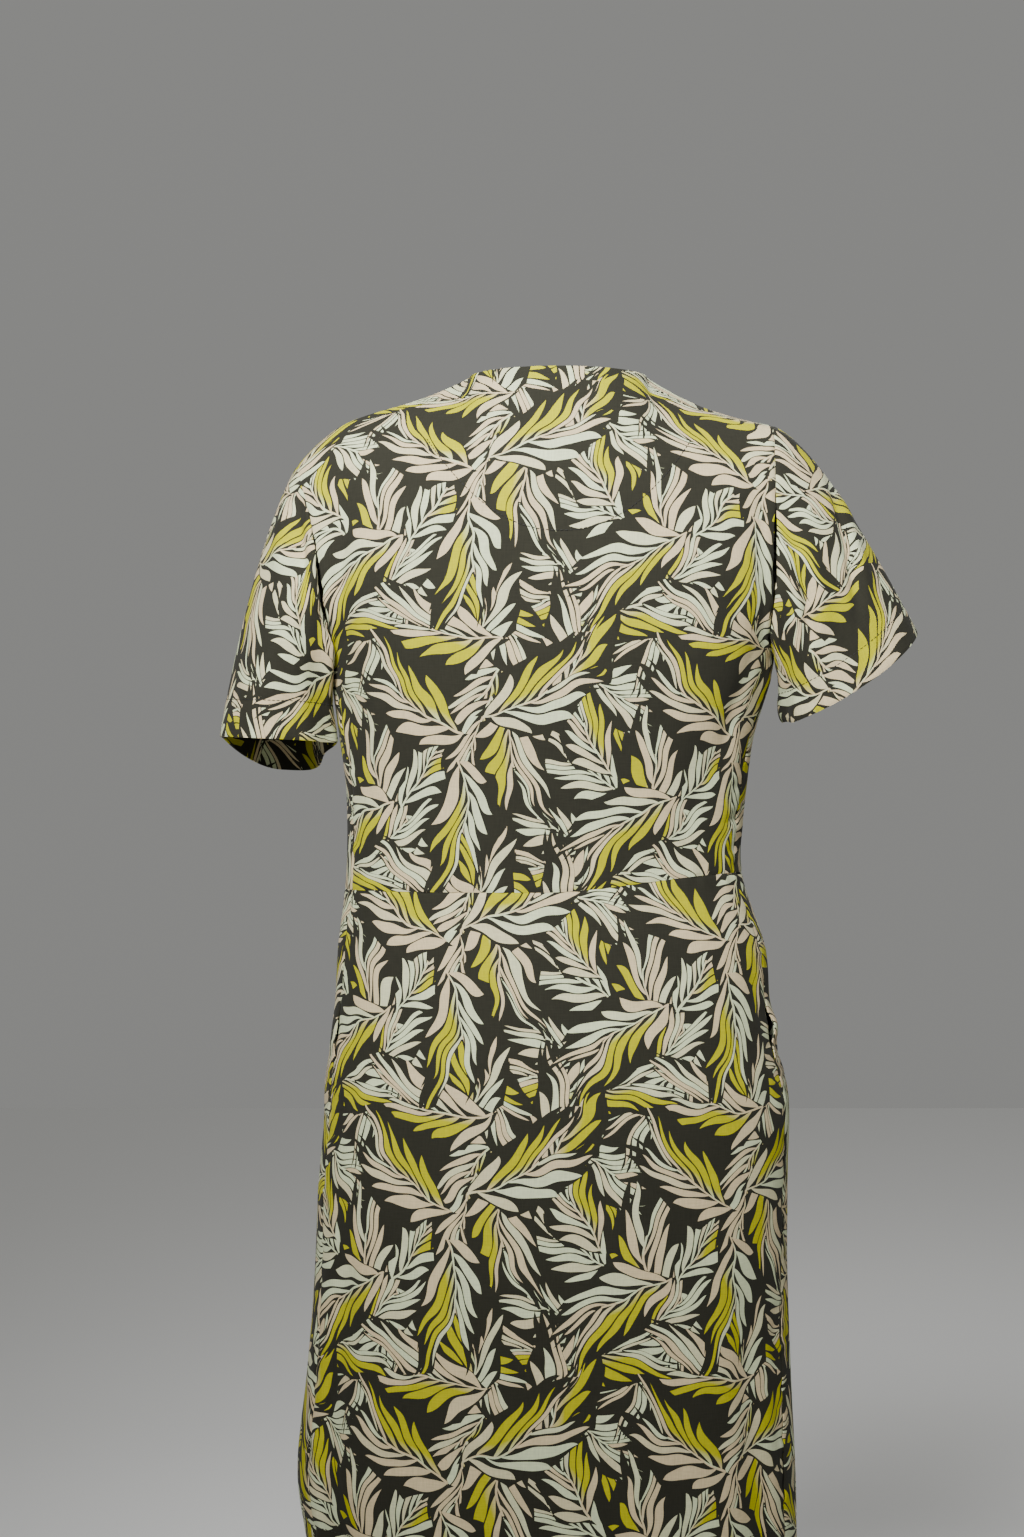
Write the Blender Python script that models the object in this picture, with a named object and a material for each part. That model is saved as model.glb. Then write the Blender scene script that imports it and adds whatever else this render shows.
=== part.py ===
"""A short-sleeved shift dress, hollow, in the shape it takes when it is worn.

Metres, +Z up. The back of the dress faces -Y, its front faces +Y, and +X is the wearer's right.
The origin lies between the shoulders, at the height where the shoulder seams meet the neckline.

Each piece of cloth is a grid of points. Neighbouring pieces share the points of their seam, so
they meet exactly. Each then stands back half a seam gap, and gets its wall on the inside.
"""
import math
from collections import defaultdict, namedtuple

import bmesh
import bpy
from mathutils import Vector

# ---- Cloth and seams -------------------------------------------------------------------------
WALL = 0.0015            # wall of a dress panel
BAG_WALL = 0.0010        # wall of a pocket bag
SEAM_GAP = 0.0003        # gap between two sewn pieces

# ---- Heights ---------------------------------------------------------------------------------
HEM = -0.925
WAIST = -0.404
UNDERARM = -0.222
WAIST_RISE = 0.0135      # the waist seam climbs this much towards the wearer's right
WAIST_RISE_REACH = 0.06  # how far above and below the seam that climb fades away

# ---- Level sections of the body, from the hem to the underarm ----------------------------------
# half_width is measured side to side, and the depths from the side line to the centre back or
# front. seam_turn is the angle from the centre back round to the side seam, in degrees.
Section = namedtuple("Section", "height shift half_width back_depth front_depth squareness seam_turn")
SECTIONS = (
    Section(-0.925, 0.0030, 0.1935, 0.137, 0.135, 2.2, 68.0),
    Section(-0.865, -0.0020, 0.1975, 0.136, 0.133, 2.2, 69.0),
    Section(-0.790, -0.0010, 0.1930, 0.133, 0.129, 2.2, 71.0),
    Section(-0.700, 0.0005, 0.1885, 0.129, 0.124, 2.2, 73.0),
    Section(-0.630, 0.0025, 0.1865, 0.126, 0.119, 2.2, 75.0),
    Section(-0.560, 0.0040, 0.1825, 0.121, 0.115, 2.2, 75.0),
    Section(-0.530, 0.0037, 0.1765, 0.116, 0.113, 2.2, 75.0),
    Section(-0.500, 0.0030, 0.1725, 0.110, 0.110, 2.2, 75.0),
    Section(-0.450, 0.0000, 0.1670, 0.099, 0.105, 2.2, 74.0),
    Section(-0.404, -0.0045, 0.1575, 0.090, 0.102, 2.2, 73.0),
    Section(-0.360, -0.0040, 0.1580, 0.092, 0.107, 2.2, 73.0),
    Section(-0.320, -0.0024, 0.1600, 0.097, 0.115, 2.2, 74.0),
    Section(-0.285, -0.0020, 0.1640, 0.102, 0.122, 2.3, 76.0),
    Section(-0.250, -0.0005, 0.1700, 0.106, 0.127, 2.4, 79.0),
    Section(-0.222, 0.0000, 0.1750, 0.108, 0.127, 2.5, 82.0),
)

# ---- Centre lines above the underarm: share of the underarm depth that is left -----------------
Spine = namedtuple("Spine", "climb depth_share")
BACK_SPINE = (Spine(0.0, 1.0), Spine(0.3, 0.995), Spine(0.6, 0.92), Spine(0.82, 0.77), Spine(1.0, 0.57))
FRONT_SPINE = (Spine(0.0, 1.0), Spine(0.3, 0.95), Spine(0.65, 0.78), Spine(1.0, 0.58))

# ---- Neck ------------------------------------------------------------------------------------
NECK_X = 0.0075
NECK_HALF_WIDTH = 0.070
SHOULDER_Y = -0.012      # the shoulder seams lie just behind the ridge of the shoulders
NECK_BACK_Z = 0.003
NECK_FRONT_Z = -0.076
NECK_SHARE = 0.42        # share of a bodice's top edge, from its middle, that the neckline takes
TOP_SPREAD = 0.16        # how widely the shape of the top edge is softened lower down

# ---- Bust: where the darts of the front point, and the fullness they give ----------------------
BUST_APEX_X = (-0.082, 0.086)
BUST_APEX_Z = -0.238
BUST_SPREAD = 0.052
BUST_FULLNESS = 0.013

# ---- Shoulders, armholes and sleeves, one row for each side ------------------------------------
# The tip is where shoulder seam, armhole and sleeve meet. bow lifts the middle of the shoulder
# seam, and bow_place moves that lift towards the tip. The scoops carry the armhole backwards and
# forwards, and the pinches carry it towards the middle.
Side = namedtuple("Side", "name sign tip_x tip_z bow bow_place back_scoop front_scoop back_pinch front_pinch")
SIDES = (
    Side("left", -1.0, -0.199, -0.0710, 0.0145, 2.1, 0.047, 0.064, 0.0070, 0.014),
    Side("right", 1.0, 0.1765, -0.0385, -0.0060, 0.9, 0.047, 0.064, 0.0000, 0.012),
)
# The hem ring of a sleeve: its middle, its half width and the way that half width points (towards
# the body), its half depth, and how far its front hangs below its back.
Cuff = namedtuple("Cuff", "middle inward half_width half_depth front_drop squareness")
CUFFS = {
    "left": Cuff((-0.2165, 0.004, -0.2860), (1.0, 0.0, -0.05), 0.0445, 0.066, 0.024, 2.2),
    "right": Cuff((0.2385, 0.002, -0.2390), (-0.836, 0.0, -0.548), 0.0640, 0.053, 0.004, 2.2),
}
# How a sleeve leaves the armhole and reaches its hem, at the underarm, the sides and the top.
Run = namedtuple("Run", "leave arrive")
RUNS = {
    "left": {
        "underarm": Run((-0.030, 0.0, -0.045), (0.028, 0.0, -0.060)),
        "side": Run((-0.030, 0.050, -0.110), (-0.010, 0.0, -0.150)),
        "top": Run((-0.070, 0.0, -0.120), (-0.050, 0.0, -0.280)),
    },
    "right": {
        "underarm": Run((0.030, 0.0, -0.045), (0.020, 0.0, -0.060)),
        "side": Run((0.060, 0.030, -0.080), (0.060, 0.0, -0.100)),
        "top": Run((0.120, 0.0, -0.050), (0.100, 0.0, -0.190)),
    },
}

# ---- Largest folds: soft troughs (negative depth) and ridges in a panel -------------------------
# across runs from -1 at the panel's left edge to 1 at its right, climb from 0 at its foot to 1.
Fold = namedtuple("Fold", "across_low climb_low across_high climb_high width depth")
FOLDS = {
    "back_bodice": (
        Fold(-0.86, 0.30, -0.90, 0.72, 0.11, -0.0050),
        Fold(0.88, 0.34, 0.90, 0.70, 0.10, -0.0035),
        Fold(0.55, 0.05, 0.80, 0.38, 0.12, -0.0025),
    ),
    "front_bodice": (
        Fold(-0.80, 0.52, -0.62, 0.72, 0.10, -0.0040),
        Fold(0.80, 0.52, 0.62, 0.72, 0.10, -0.0040),
    ),
    "back_skirt": (
        Fold(-0.82, 0.00, -0.78, 0.45, 0.09, -0.0060),
        Fold(0.80, 0.00, 0.74, 0.40, 0.10, -0.0050),
        Fold(0.10, 0.00, 0.05, 0.35, 0.14, -0.0030),
    ),
    "front_skirt": (
        Fold(-0.60, 0.00, -0.52, 0.45, 0.11, -0.0055),
        Fold(0.58, 0.00, 0.50, 0.42, 0.12, -0.0050),
        Fold(-0.05, 0.00, 0.00, 0.38, 0.14, -0.0035),
    ),
}
# Folds in a sleeve: turn in degrees round from the underarm by way of the back, along from the
# armhole (0) to the hem (1).
SleeveFold = namedtuple("SleeveFold", "turn_top along_top turn_hem along_hem width depth")
SLEEVE_FOLDS = {
    "left": (
        SleeveFold(62.0, 0.15, 42.0, 0.95, 15.0, -0.0060),
        SleeveFold(318.0, 0.10, 330.0, 0.90, 16.0, -0.0050),
    ),
    "right": (
        SleeveFold(58.0, 0.10, 22.0, 0.80, 14.0, -0.0050),
        SleeveFold(305.0, 0.10, 332.0, 0.90, 16.0, -0.0050),
    ),
}

# ---- Side-seam pockets ------------------------------------------------------------------------
POCKET_TOP = -0.468
POCKET_FOOT = -0.590
POCKET_GAPE = 0.0110     # how far the front lip of the mouth stands out, at most
GAPE_FADE = 0.24         # share of the front skirt's half over which the lip settles back
BAG_START = 0.990        # where a bag begins, as a place across the front skirt
BAG_DROP = 0.075         # how far the bag's foot hangs below the mouth's foot
BAG_EASE = 0.010         # how far the bag starts inside the ends of the mouth
BAG_HOLLOW = 0.0130      # hollow between the bag's two layers, further in than the mouth
BAG_GAP = 0.0006         # gap between the bag and the skirt it hangs in
BAG_SLACK = 0.0014       # what is added to that gap behind the lip

# ---- How finely the cloth is divided ------------------------------------------------------------
NECK_COLUMNS = 12
SHOULDER_COLUMNS = 6
WAIST_TO_UNDERARM_ROWS = 7
ARMHOLE_ROWS = 12
HEM_TO_POCKET_ROWS = 7
POCKET_ROWS = 4
POCKET_TO_WAIST_ROWS = 2
SLEEVE_ROWS = 7
BAG_COLUMNS = 5
BAG_CORNERS = 16

CHARCOAL = (0.045, 0.040, 0.036)
CLOTH_ROUGHNESS = 0.9


def mix(low, high, share):
    return low + (high - low) * share


def smoothstep(value):
    value = min(max(value, 0.0), 1.0)
    return value * value * (3.0 - 2.0 * value)


def curve_value(rows, key, column, place):
    """A smooth curve through one column of a table, read at a place along its key column."""
    keys = [getattr(row, key) for row in rows]
    values = [getattr(row, column) for row in rows]
    if place <= keys[0]:
        return values[0]
    if place >= keys[-1]:
        return values[-1]
    step = next(i for i in range(len(keys) - 1) if place <= keys[i + 1])

    def slope(i):
        low = max(i - 1, 0)
        high = min(i + 1, len(keys) - 1)
        return (values[high] - values[low]) / (keys[high] - keys[low])

    span = keys[step + 1] - keys[step]
    t = (place - keys[step]) / span
    return (
        (2 * t**3 - 3 * t**2 + 1) * values[step]
        + (t**3 - 2 * t**2 + t) * span * slope(step)
        + (3 * t**2 - 2 * t**3) * values[step + 1]
        + (t**3 - t**2) * span * slope(step + 1)
    )


def section_at(height):
    columns = [curve_value(SECTIONS, "height", name, height) for name in Section._fields[1:]]
    return Section(height, *columns)


def power_of(value, power):
    return math.copysign(abs(value) ** power, value)


def ring_point(section, turn):
    """A point on a level section. turn is 0 at the centre back and grows towards +X, in radians."""
    power = 2.0 / section.squareness
    across = power_of(math.sin(turn), power)
    behind = power_of(math.cos(turn), power)
    depth = section.back_depth if behind > 0.0 else section.front_depth
    x = section.shift + section.half_width * across
    near_waist = math.exp(-(((section.height - WAIST) / WAIST_RISE_REACH) ** 2))
    lift = WAIST_RISE * smoothstep((x + 0.01) / 0.16) * near_waist
    return Vector((x, -depth * behind, section.height + lift))


def panel_turn(face, across, section):
    """The angle round a section for a place across a panel, from -1 to 1 towards +X."""
    seam = math.radians(section.seam_turn)
    if face == "back":
        return across * seam
    return math.copysign(math.pi, across) - across * (math.pi - seam)


def shoulder_point(side, share):
    """A point on the shoulder seam, from the neck (0) to the tip (1)."""
    neck = Vector((NECK_X + side.sign * NECK_HALF_WIDTH, SHOULDER_Y, 0.0))
    tip = Vector((side.tip_x, SHOULDER_Y, side.tip_z))
    point = neck.lerp(tip, share)
    point.z += side.bow * math.sin(math.pi * share**side.bow_place)
    return point


def neckline_point(face, turn):
    """A point on the neckline: turn is 0 in the middle and a right angle at the shoulder seams."""
    middle_y = -curve_value(SECTIONS, "height", "back_depth", UNDERARM) * BACK_SPINE[-1].depth_share
    middle_z = NECK_BACK_Z
    if face == "front":
        middle_y = curve_value(SECTIONS, "height", "front_depth", UNDERARM) * FRONT_SPINE[-1].depth_share
        middle_z = NECK_FRONT_Z
    return Vector((
        NECK_X + NECK_HALF_WIDTH * math.sin(turn),
        mix(SHOULDER_Y, middle_y, math.cos(turn)),
        mix(0.0, middle_z, math.cos(turn)),
    ))


def top_point(face, across):
    """The top edge of a bodice: half a neckline with a shoulder seam on each side."""
    if abs(across) <= NECK_SHARE:
        return neckline_point(face, math.pi / 2 * across / NECK_SHARE)
    side = SIDES[0] if across < 0.0 else SIDES[1]
    return shoulder_point(side, (abs(across) - NECK_SHARE) / (1.0 - NECK_SHARE))


def armhole_point(face, side, climb):
    """A point on the armhole, from the underarm (0) to the tip of the shoulder (1)."""
    section = section_at(UNDERARM)
    low = ring_point(section, side.sign * math.radians(section.seam_turn))
    tip = Vector((side.tip_x, SHOULDER_Y, side.tip_z))
    turn = math.pi * climb
    point = low.lerp(tip, (1.0 - math.cos(turn)) / 2.0)
    bulge = math.sin(turn)
    if face == "back":
        point.y -= side.back_scoop * bulge
        pinch = side.back_pinch
    else:
        point.y += side.front_scoop * bulge
        pinch = side.front_pinch
    point.x -= side.sign * pinch * bulge**2
    # near the underarm the armhole lies on the outline of the body
    depth = section.back_depth if point.y < 0.0 else section.front_depth
    over = 1.0 - abs(point.y / depth) ** section.squareness
    outline = section.shift + side.sign * section.half_width * over ** (1.0 / section.squareness)
    point.x = mix(outline, point.x, smoothstep(climb / 0.35))
    return point


def arched_point(face, across, climb):
    """An evenly arched bodice above the underarm (climb 0) up to the height of its top (1)."""
    section = section_at(UNDERARM)
    side = SIDES[0] if across < 0.0 else SIDES[1]
    foot_middle = ring_point(section, panel_turn(face, 0.0, section))
    foot_edge = ring_point(section, panel_turn(face, side.sign, section))
    foot = ring_point(section, panel_turn(face, across, section))
    spine = BACK_SPINE if face == "back" else FRONT_SPINE
    middle = Vector((
        mix(foot_middle.x, NECK_X, smoothstep(climb)),
        foot_middle.y * curve_value(spine, "climb", "depth_share", climb),
        mix(UNDERARM, neckline_point(face, 0.0).z, climb),
    ))
    edge = armhole_point(face, side, climb)
    round_x = (foot.x - foot_middle.x) / (foot_edge.x - foot_middle.x)
    round_y = (foot.y - foot_middle.y) / (foot_edge.y - foot_middle.y)
    flat = abs(across)
    return Vector((
        mix(middle.x, edge.x, mix(round_x, flat, smoothstep(climb))),
        mix(middle.y, edge.y, round_y),
        mix(middle.z, edge.z, mix(flat**2, flat**1.3, climb)),
    ))


def top_shaping(face, across, climb):
    """What the true top edge adds to the even arch. It fades and spreads out going down."""
    spread = TOP_SPREAD * (1.0 - climb)
    total = Vector()
    for step in (-2, -1, 0, 1, 2):
        place = min(max(across + step * spread, -1.0), 1.0)
        total += top_point(face, place) - arched_point(face, place, 1.0)
    total *= smoothstep((1.0 - abs(across)) / max(0.25 * (1.0 - climb), 1e-6)) / 5.0
    # the cloth rises first and turns over the shoulder last, which rounds the ridge
    early = mix(climb**3, smoothstep(climb), 0.6)
    return Vector((total.x * early, total.y * climb**4, total.z * early))


def upper_row_point(face, across, climb):
    """A bodice above the underarm: from the underarm section (climb 0) to the top edge (1)."""
    return arched_point(face, across, climb) + top_shaping(face, across, climb)


def bust_push(point, across, climb):
    """Soft fullness over the bust, which the darts of the front give."""
    push = 0.0
    for apex_x in BUST_APEX_X:
        away = ((point.x - apex_x) / BUST_SPREAD) ** 2 + ((point.z - BUST_APEX_Z) / BUST_SPREAD) ** 2
        push += BUST_FULLNESS * math.exp(-away)
    return push * smoothstep((1.0 - abs(across)) / 0.3) * smoothstep(climb / 0.15)


def fold_push(folds, across, climb, held_foot):
    """How far the folds move a point of a panel outwards. Its seams stay where they are."""
    push = 0.0
    for fold in folds:
        rise = fold.climb_high - fold.climb_low
        share = (climb - fold.climb_low) / rise
        line = mix(fold.across_low, fold.across_high, min(max(share, 0.0), 1.0))
        inside = smoothstep((share + 0.35) / 0.35) * smoothstep((1.35 - share) / 0.35)
        if fold.climb_low <= 0.0:
            inside = smoothstep((1.35 - share) / 0.6)
        push += fold.depth * inside * math.exp(-(((across - line) / fold.width) ** 2))
    held = smoothstep((1.0 - abs(across)) / 0.12) * smoothstep((1.0 - climb) / 0.08)
    if held_foot:
        held *= smoothstep(climb / 0.08)
    return push * held


def bodice_rows():
    """Places up a bodice, from the waist to the top: (kind, place, share of the whole climb)."""
    rows = []
    total = WAIST_TO_UNDERARM_ROWS + ARMHOLE_ROWS
    for i in range(WAIST_TO_UNDERARM_ROWS):
        rows.append(("lower", mix(WAIST, UNDERARM, i / WAIST_TO_UNDERARM_ROWS), i / total))
    for i in range(ARMHOLE_ROWS + 1):
        rows.append(("upper", i / ARMHOLE_ROWS, (i + WAIST_TO_UNDERARM_ROWS) / total))
    return rows


def across_places():
    """Places across a panel, with one column exactly at each end of the neckline."""
    neck = [NECK_SHARE * (2.0 * i / NECK_COLUMNS - 1.0) for i in range(NECK_COLUMNS + 1)]
    side = [mix(NECK_SHARE, 1.0, (i + 1) / SHOULDER_COLUMNS) for i in range(SHOULDER_COLUMNS)]
    return [-place for place in reversed(side)] + neck + side


def bodice_grid(face):
    grid = []
    for kind, place, climb in bodice_rows():
        row = []
        for across in across_places():
            if kind == "lower":
                section = section_at(place)
                point = ring_point(section, panel_turn(face, across, section))
            else:
                point = upper_row_point(face, across, place)
            outward = fold_push(FOLDS[face + "_bodice"], across, climb, held_foot=True)
            if face == "front":
                point.y += bust_push(point, across, climb) + outward
            else:
                point.y -= outward
            row.append(point)
        grid.append(row)
    return grid


def skirt_point(face, across, height):
    section = section_at(height)
    point = ring_point(section, panel_turn(face, across, section))
    outward = (point - Vector((section.shift, 0.0, point.z))).normalized()
    climb = (height - HEM) / (WAIST - HEM)
    return point + outward * fold_push(FOLDS[face + "_skirt"], across, climb, held_foot=False)


def skirt_heights():
    """Heights of the skirt's rows, with one row exactly at each end of the pocket mouths."""
    heights = [mix(HEM, POCKET_FOOT, i / HEM_TO_POCKET_ROWS) for i in range(HEM_TO_POCKET_ROWS)]
    heights += [mix(POCKET_FOOT, POCKET_TOP, i / POCKET_ROWS) for i in range(POCKET_ROWS)]
    heights += [mix(POCKET_TOP, WAIST, i / POCKET_TO_WAIST_ROWS) for i in range(POCKET_TO_WAIST_ROWS)]
    return heights + [WAIST]


def skirt_grid(face):
    return [[skirt_point(face, across, height) for across in across_places()] for height in skirt_heights()]


def cuff_point(side, turn):
    """A point on a sleeve's hem: turn 0 faces the body, a right angle the back, 180 degrees out."""
    cuff = CUFFS[side.name]
    power = 2.0 / cuff.squareness
    inward = Vector(cuff.inward).normalized()
    backward = Vector((0.0, -1.0, 0.0))
    point = Vector(cuff.middle)
    point += inward * cuff.half_width * power_of(math.cos(turn), power)
    point += backward * cuff.half_depth * power_of(math.sin(turn), power)
    point.z -= cuff.front_drop * smoothstep(-math.sin(turn))
    return point


def sleeve_grid(side):
    """Rings from the armhole to the hem, each going from the underarm round by way of the back."""
    runs = RUNS[side.name]
    count = 2 * ARMHOLE_ROWS
    grid = []
    for row in range(SLEEVE_ROWS + 1):
        t = row / SLEEVE_ROWS
        ring = []
        for step in range(count):
            turn = 2.0 * math.pi * step / count
            if step <= ARMHOLE_ROWS:
                start = armhole_point("back", side, step / ARMHOLE_ROWS)
            else:
                start = armhole_point("front", side, (count - step) / ARMHOLE_ROWS)
            end = cuff_point(side, turn)
            under = max(math.cos(turn), 0.0) ** 2
            over = max(-math.cos(turn), 0.0) ** 2
            beside = 1.0 - under - over
            leave = Vector()
            arrive = Vector()
            for name, weight in (("underarm", under), ("side", beside), ("top", over)):
                run = runs[name]
                facing = -math.sin(turn) if name == "side" else 1.0
                leave += weight * Vector((run.leave[0], run.leave[1] * facing, run.leave[2]))
                arrive += weight * Vector((run.arrive[0], run.arrive[1] * facing, run.arrive[2]))
            point = (
                (2 * t**3 - 3 * t**2 + 1) * start
                + (t**3 - 2 * t**2 + t) * leave
                + (3 * t**2 - 2 * t**3) * end
                + (t**3 - t**2) * arrive
            )
            ring.append(point)
        grid.append(ring)
    push_sleeve_folds(grid, side)
    return grid


def push_sleeve_folds(grid, side):
    for row, ring in enumerate(grid):
        along = row / SLEEVE_ROWS
        middle = sum(ring, Vector()) / len(ring)
        for step, point in enumerate(ring):
            turn = 360.0 * step / len(ring)
            push = 0.0
            for fold in SLEEVE_FOLDS[side.name]:
                share = (along - fold.along_top) / (fold.along_hem - fold.along_top)
                line = mix(fold.turn_top, fold.turn_hem, share)
                away = (turn - line + 180.0) % 360.0 - 180.0
                push += fold.depth * math.exp(-((away / fold.width) ** 2))
            push *= smoothstep(along / 0.3)
            ring[step] = point + (point - middle).normalized() * push


# ---- Walls ------------------------------------------------------------------------------------
def spot(point):
    """A key that is the same for the shared points of two pieces."""
    return tuple(round(value, 6) for value in point)


def steps_round(grid, closed):
    width = len(grid[0])
    return range(width if closed else width - 1)


def own_normals(grid, closed, flip):
    """Area-weighted outward direction at each point of a grid."""
    normals = [[Vector() for _ in row] for row in grid]
    width = len(grid[0])
    for r in range(len(grid) - 1):
        for c in steps_round(grid, closed):
            corners = ((r, c), (r, (c + 1) % width), (r + 1, (c + 1) % width), (r + 1, c))
            a, b, d, e = (grid[i][j] for i, j in corners)
            normal = (d - a).cross(e - b)
            if flip:
                normal = -normal
            for i, j in corners:
                normals[i][j] += normal
    return [[normal.normalized() for normal in row] for row in normals]


def inward_way(grid, closed, r, c):
    """Direction from a border point into its own piece, square to the border where that is plain."""
    width = len(grid[0])
    at_end = r in (0, len(grid) - 1)
    at_side = not closed and c in (0, width - 1)
    way = Vector()
    if not at_end and not at_side:
        return way
    if at_end and at_side:
        up = (grid[1 if r == 0 else r - 1][c] - grid[r][c]).normalized()
        over = (grid[r][1 if c == 0 else c - 1] - grid[r][c]).normalized()
        return (up + over).normalized()
    for i in (r - 1, r + 1):
        for j in (c - 1, c + 1):
            if 0 <= i < len(grid) and (closed or 0 <= j < width):
                way += grid[i][j % width] - grid[r][c]
    if not at_side:
        border = (grid[r][(c + 1) % width] - grid[r][c - 1]).normalized()
        way -= border * way.dot(border)
    else:
        border = (grid[r + 1][c] - grid[r - 1][c]).normalized()
        way -= border * way.dot(border)
    return way.normalized()


def part_at_seams(pieces):
    """Give the pieces shared wall directions along seams, and move them half a gap apart."""
    meeting = defaultdict(list)
    for name, piece in pieces.items():
        piece["normals"] = own_normals(piece["grid"], piece["closed"], piece["flip"])
        for r, row in enumerate(piece["grid"]):
            for c, point in enumerate(row):
                way = inward_way(piece["grid"], piece["closed"], r, c)
                if way.length > 0.0:
                    meeting[spot(point)].append((name, r, c, way, piece["normals"][r][c]))
    for entries in meeting.values():
        count = len(entries)
        if count < 2:
            continue
        step_back = SEAM_GAP / 2 if count == 2 else SEAM_GAP
        together = sum((entry[4] for entry in entries), Vector()).normalized()
        for name, r, c, way, normal in entries:
            others = [entry[3] for entry in entries if entry[0] != name]
            other_way = sum(others, Vector()) / len(others)
            # in a valley the walls already spread apart on the inside
            valley = smoothstep(normal.dot(other_way) / 0.35)
            piece = pieces[name]
            piece["normals"][r][c] = together.lerp(normal, valley).normalized()
            piece["grid"][r][c] = piece["grid"][r][c] + (way - other_way).normalized() * step_back


def shell(name, piece, wall):
    """A closed wall: the grid outside, the same grid moved inwards, and a rim round each border."""
    grid, normals, closed, flip = piece["grid"], piece["normals"], piece["closed"], piece["flip"]
    mesh = bmesh.new()
    outer = [[mesh.verts.new(point) for point in row] for row in grid]
    inner = [
        [mesh.verts.new(point - normal * wall) for point, normal in zip(row, directions)]
        for row, directions in zip(grid, normals)
    ]
    width = len(grid[0])
    rows = len(grid)

    def face(*corners):
        mesh.faces.new((corners[0], *reversed(corners[1:])) if flip else corners)

    for r in range(rows - 1):
        for c in steps_round(grid, closed):
            d = (c + 1) % width
            # both faces of the wall are split into triangles along the same diagonal
            if c < width // 2:
                face(outer[r][c], outer[r][d], outer[r + 1][d], outer[r + 1][c])
                face(inner[r][c], inner[r + 1][c], inner[r + 1][d], inner[r][d])
            else:
                face(outer[r][d], outer[r + 1][d], outer[r + 1][c], outer[r][c])
                face(inner[r][d], inner[r][c], inner[r + 1][c], inner[r + 1][d])
    for c in steps_round(grid, closed):
        d = (c + 1) % width
        face(inner[0][c], inner[0][d], outer[0][d], outer[0][c])
        face(outer[-1][c], outer[-1][d], inner[-1][d], inner[-1][c])
    if not closed:
        for r in range(rows - 1):
            face(outer[r][0], outer[r + 1][0], inner[r + 1][0], inner[r][0])
            face(inner[r][-1], inner[r + 1][-1], outer[r + 1][-1], outer[r][-1])
    return finish_piece(name, mesh)


def finish_piece(name, mesh):
    data = bpy.data.meshes.new(name)
    mesh.to_mesh(data)
    mesh.free()
    data.shade_smooth()
    data.set_sharp_from_angle(angle=math.radians(40.0))
    body = bpy.data.objects.new(name, data)
    bpy.context.scene.collection.objects.link(body)
    data.materials.append(cloth_material(name))
    return body


def cloth_material(name):
    material = bpy.data.materials.new(name + "_cloth")
    material.use_nodes = True
    surface = material.node_tree.nodes["Principled BSDF"]
    surface.inputs["Base Color"].default_value = (*CHARCOAL, 1.0)
    surface.inputs["Roughness"].default_value = CLOTH_ROUGHNESS
    surface.inputs["Metallic"].default_value = 0.0
    return material


# ---- Pockets -----------------------------------------------------------------------------------
def gape_at(height):
    """How far the front lip of a pocket mouth stands out at a height."""
    share = (height - POCKET_FOOT) / (POCKET_TOP - POCKET_FOOT)
    if share <= 0.0 or share >= 1.0:
        return 0.0
    return POCKET_GAPE * math.sin(math.pi * share) ** 2


def open_pocket_lips(piece):
    """Move the front skirt's edges outwards at the pocket mouths."""
    places = across_places()
    for row, directions in zip(piece["grid"], piece["normals"]):
        for c, across in enumerate(places):
            fade = 1.0 - smoothstep((1.0 - abs(across)) / GAPE_FADE)
            row[c] = row[c] + directions[c] * gape_at(row[c].z) * fade


def skirt_facet(skirt, across, height):
    """A point on the flat facets of the finished front skirt, and the outward direction there."""
    places = across_places()
    column = max(i for i, place in enumerate(places[:-1]) if place <= across)
    over = (across - places[column]) / (places[column + 1] - places[column])
    heights = skirt_heights()
    row = max(i for i, level in enumerate(heights[:-1]) if level <= height)
    up = (height - heights[row]) / (heights[row + 1] - heights[row])

    def blend(values):
        near, far = column, column + 1
        along = over
        if column >= len(places) // 2:
            near, far = far, near
            along = 1.0 - over
        corner, opposite = values[row][near], values[row + 1][far]
        if along >= up:
            side = values[row][far]
            return corner + (side - corner) * along + (opposite - side) * up
        side = values[row + 1][near]
        return corner + (side - corner) * up + (opposite - side) * along

    return blend(skirt["grid"]), blend(skirt["normals"]).normalized()


def bag_places():
    """Places of a bag's rings: just inside the mouth, then on the front skirt's own columns."""
    columns = across_places()[-1 - BAG_COLUMNS:-1]
    return [BAG_START] + list(reversed(columns))


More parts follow.
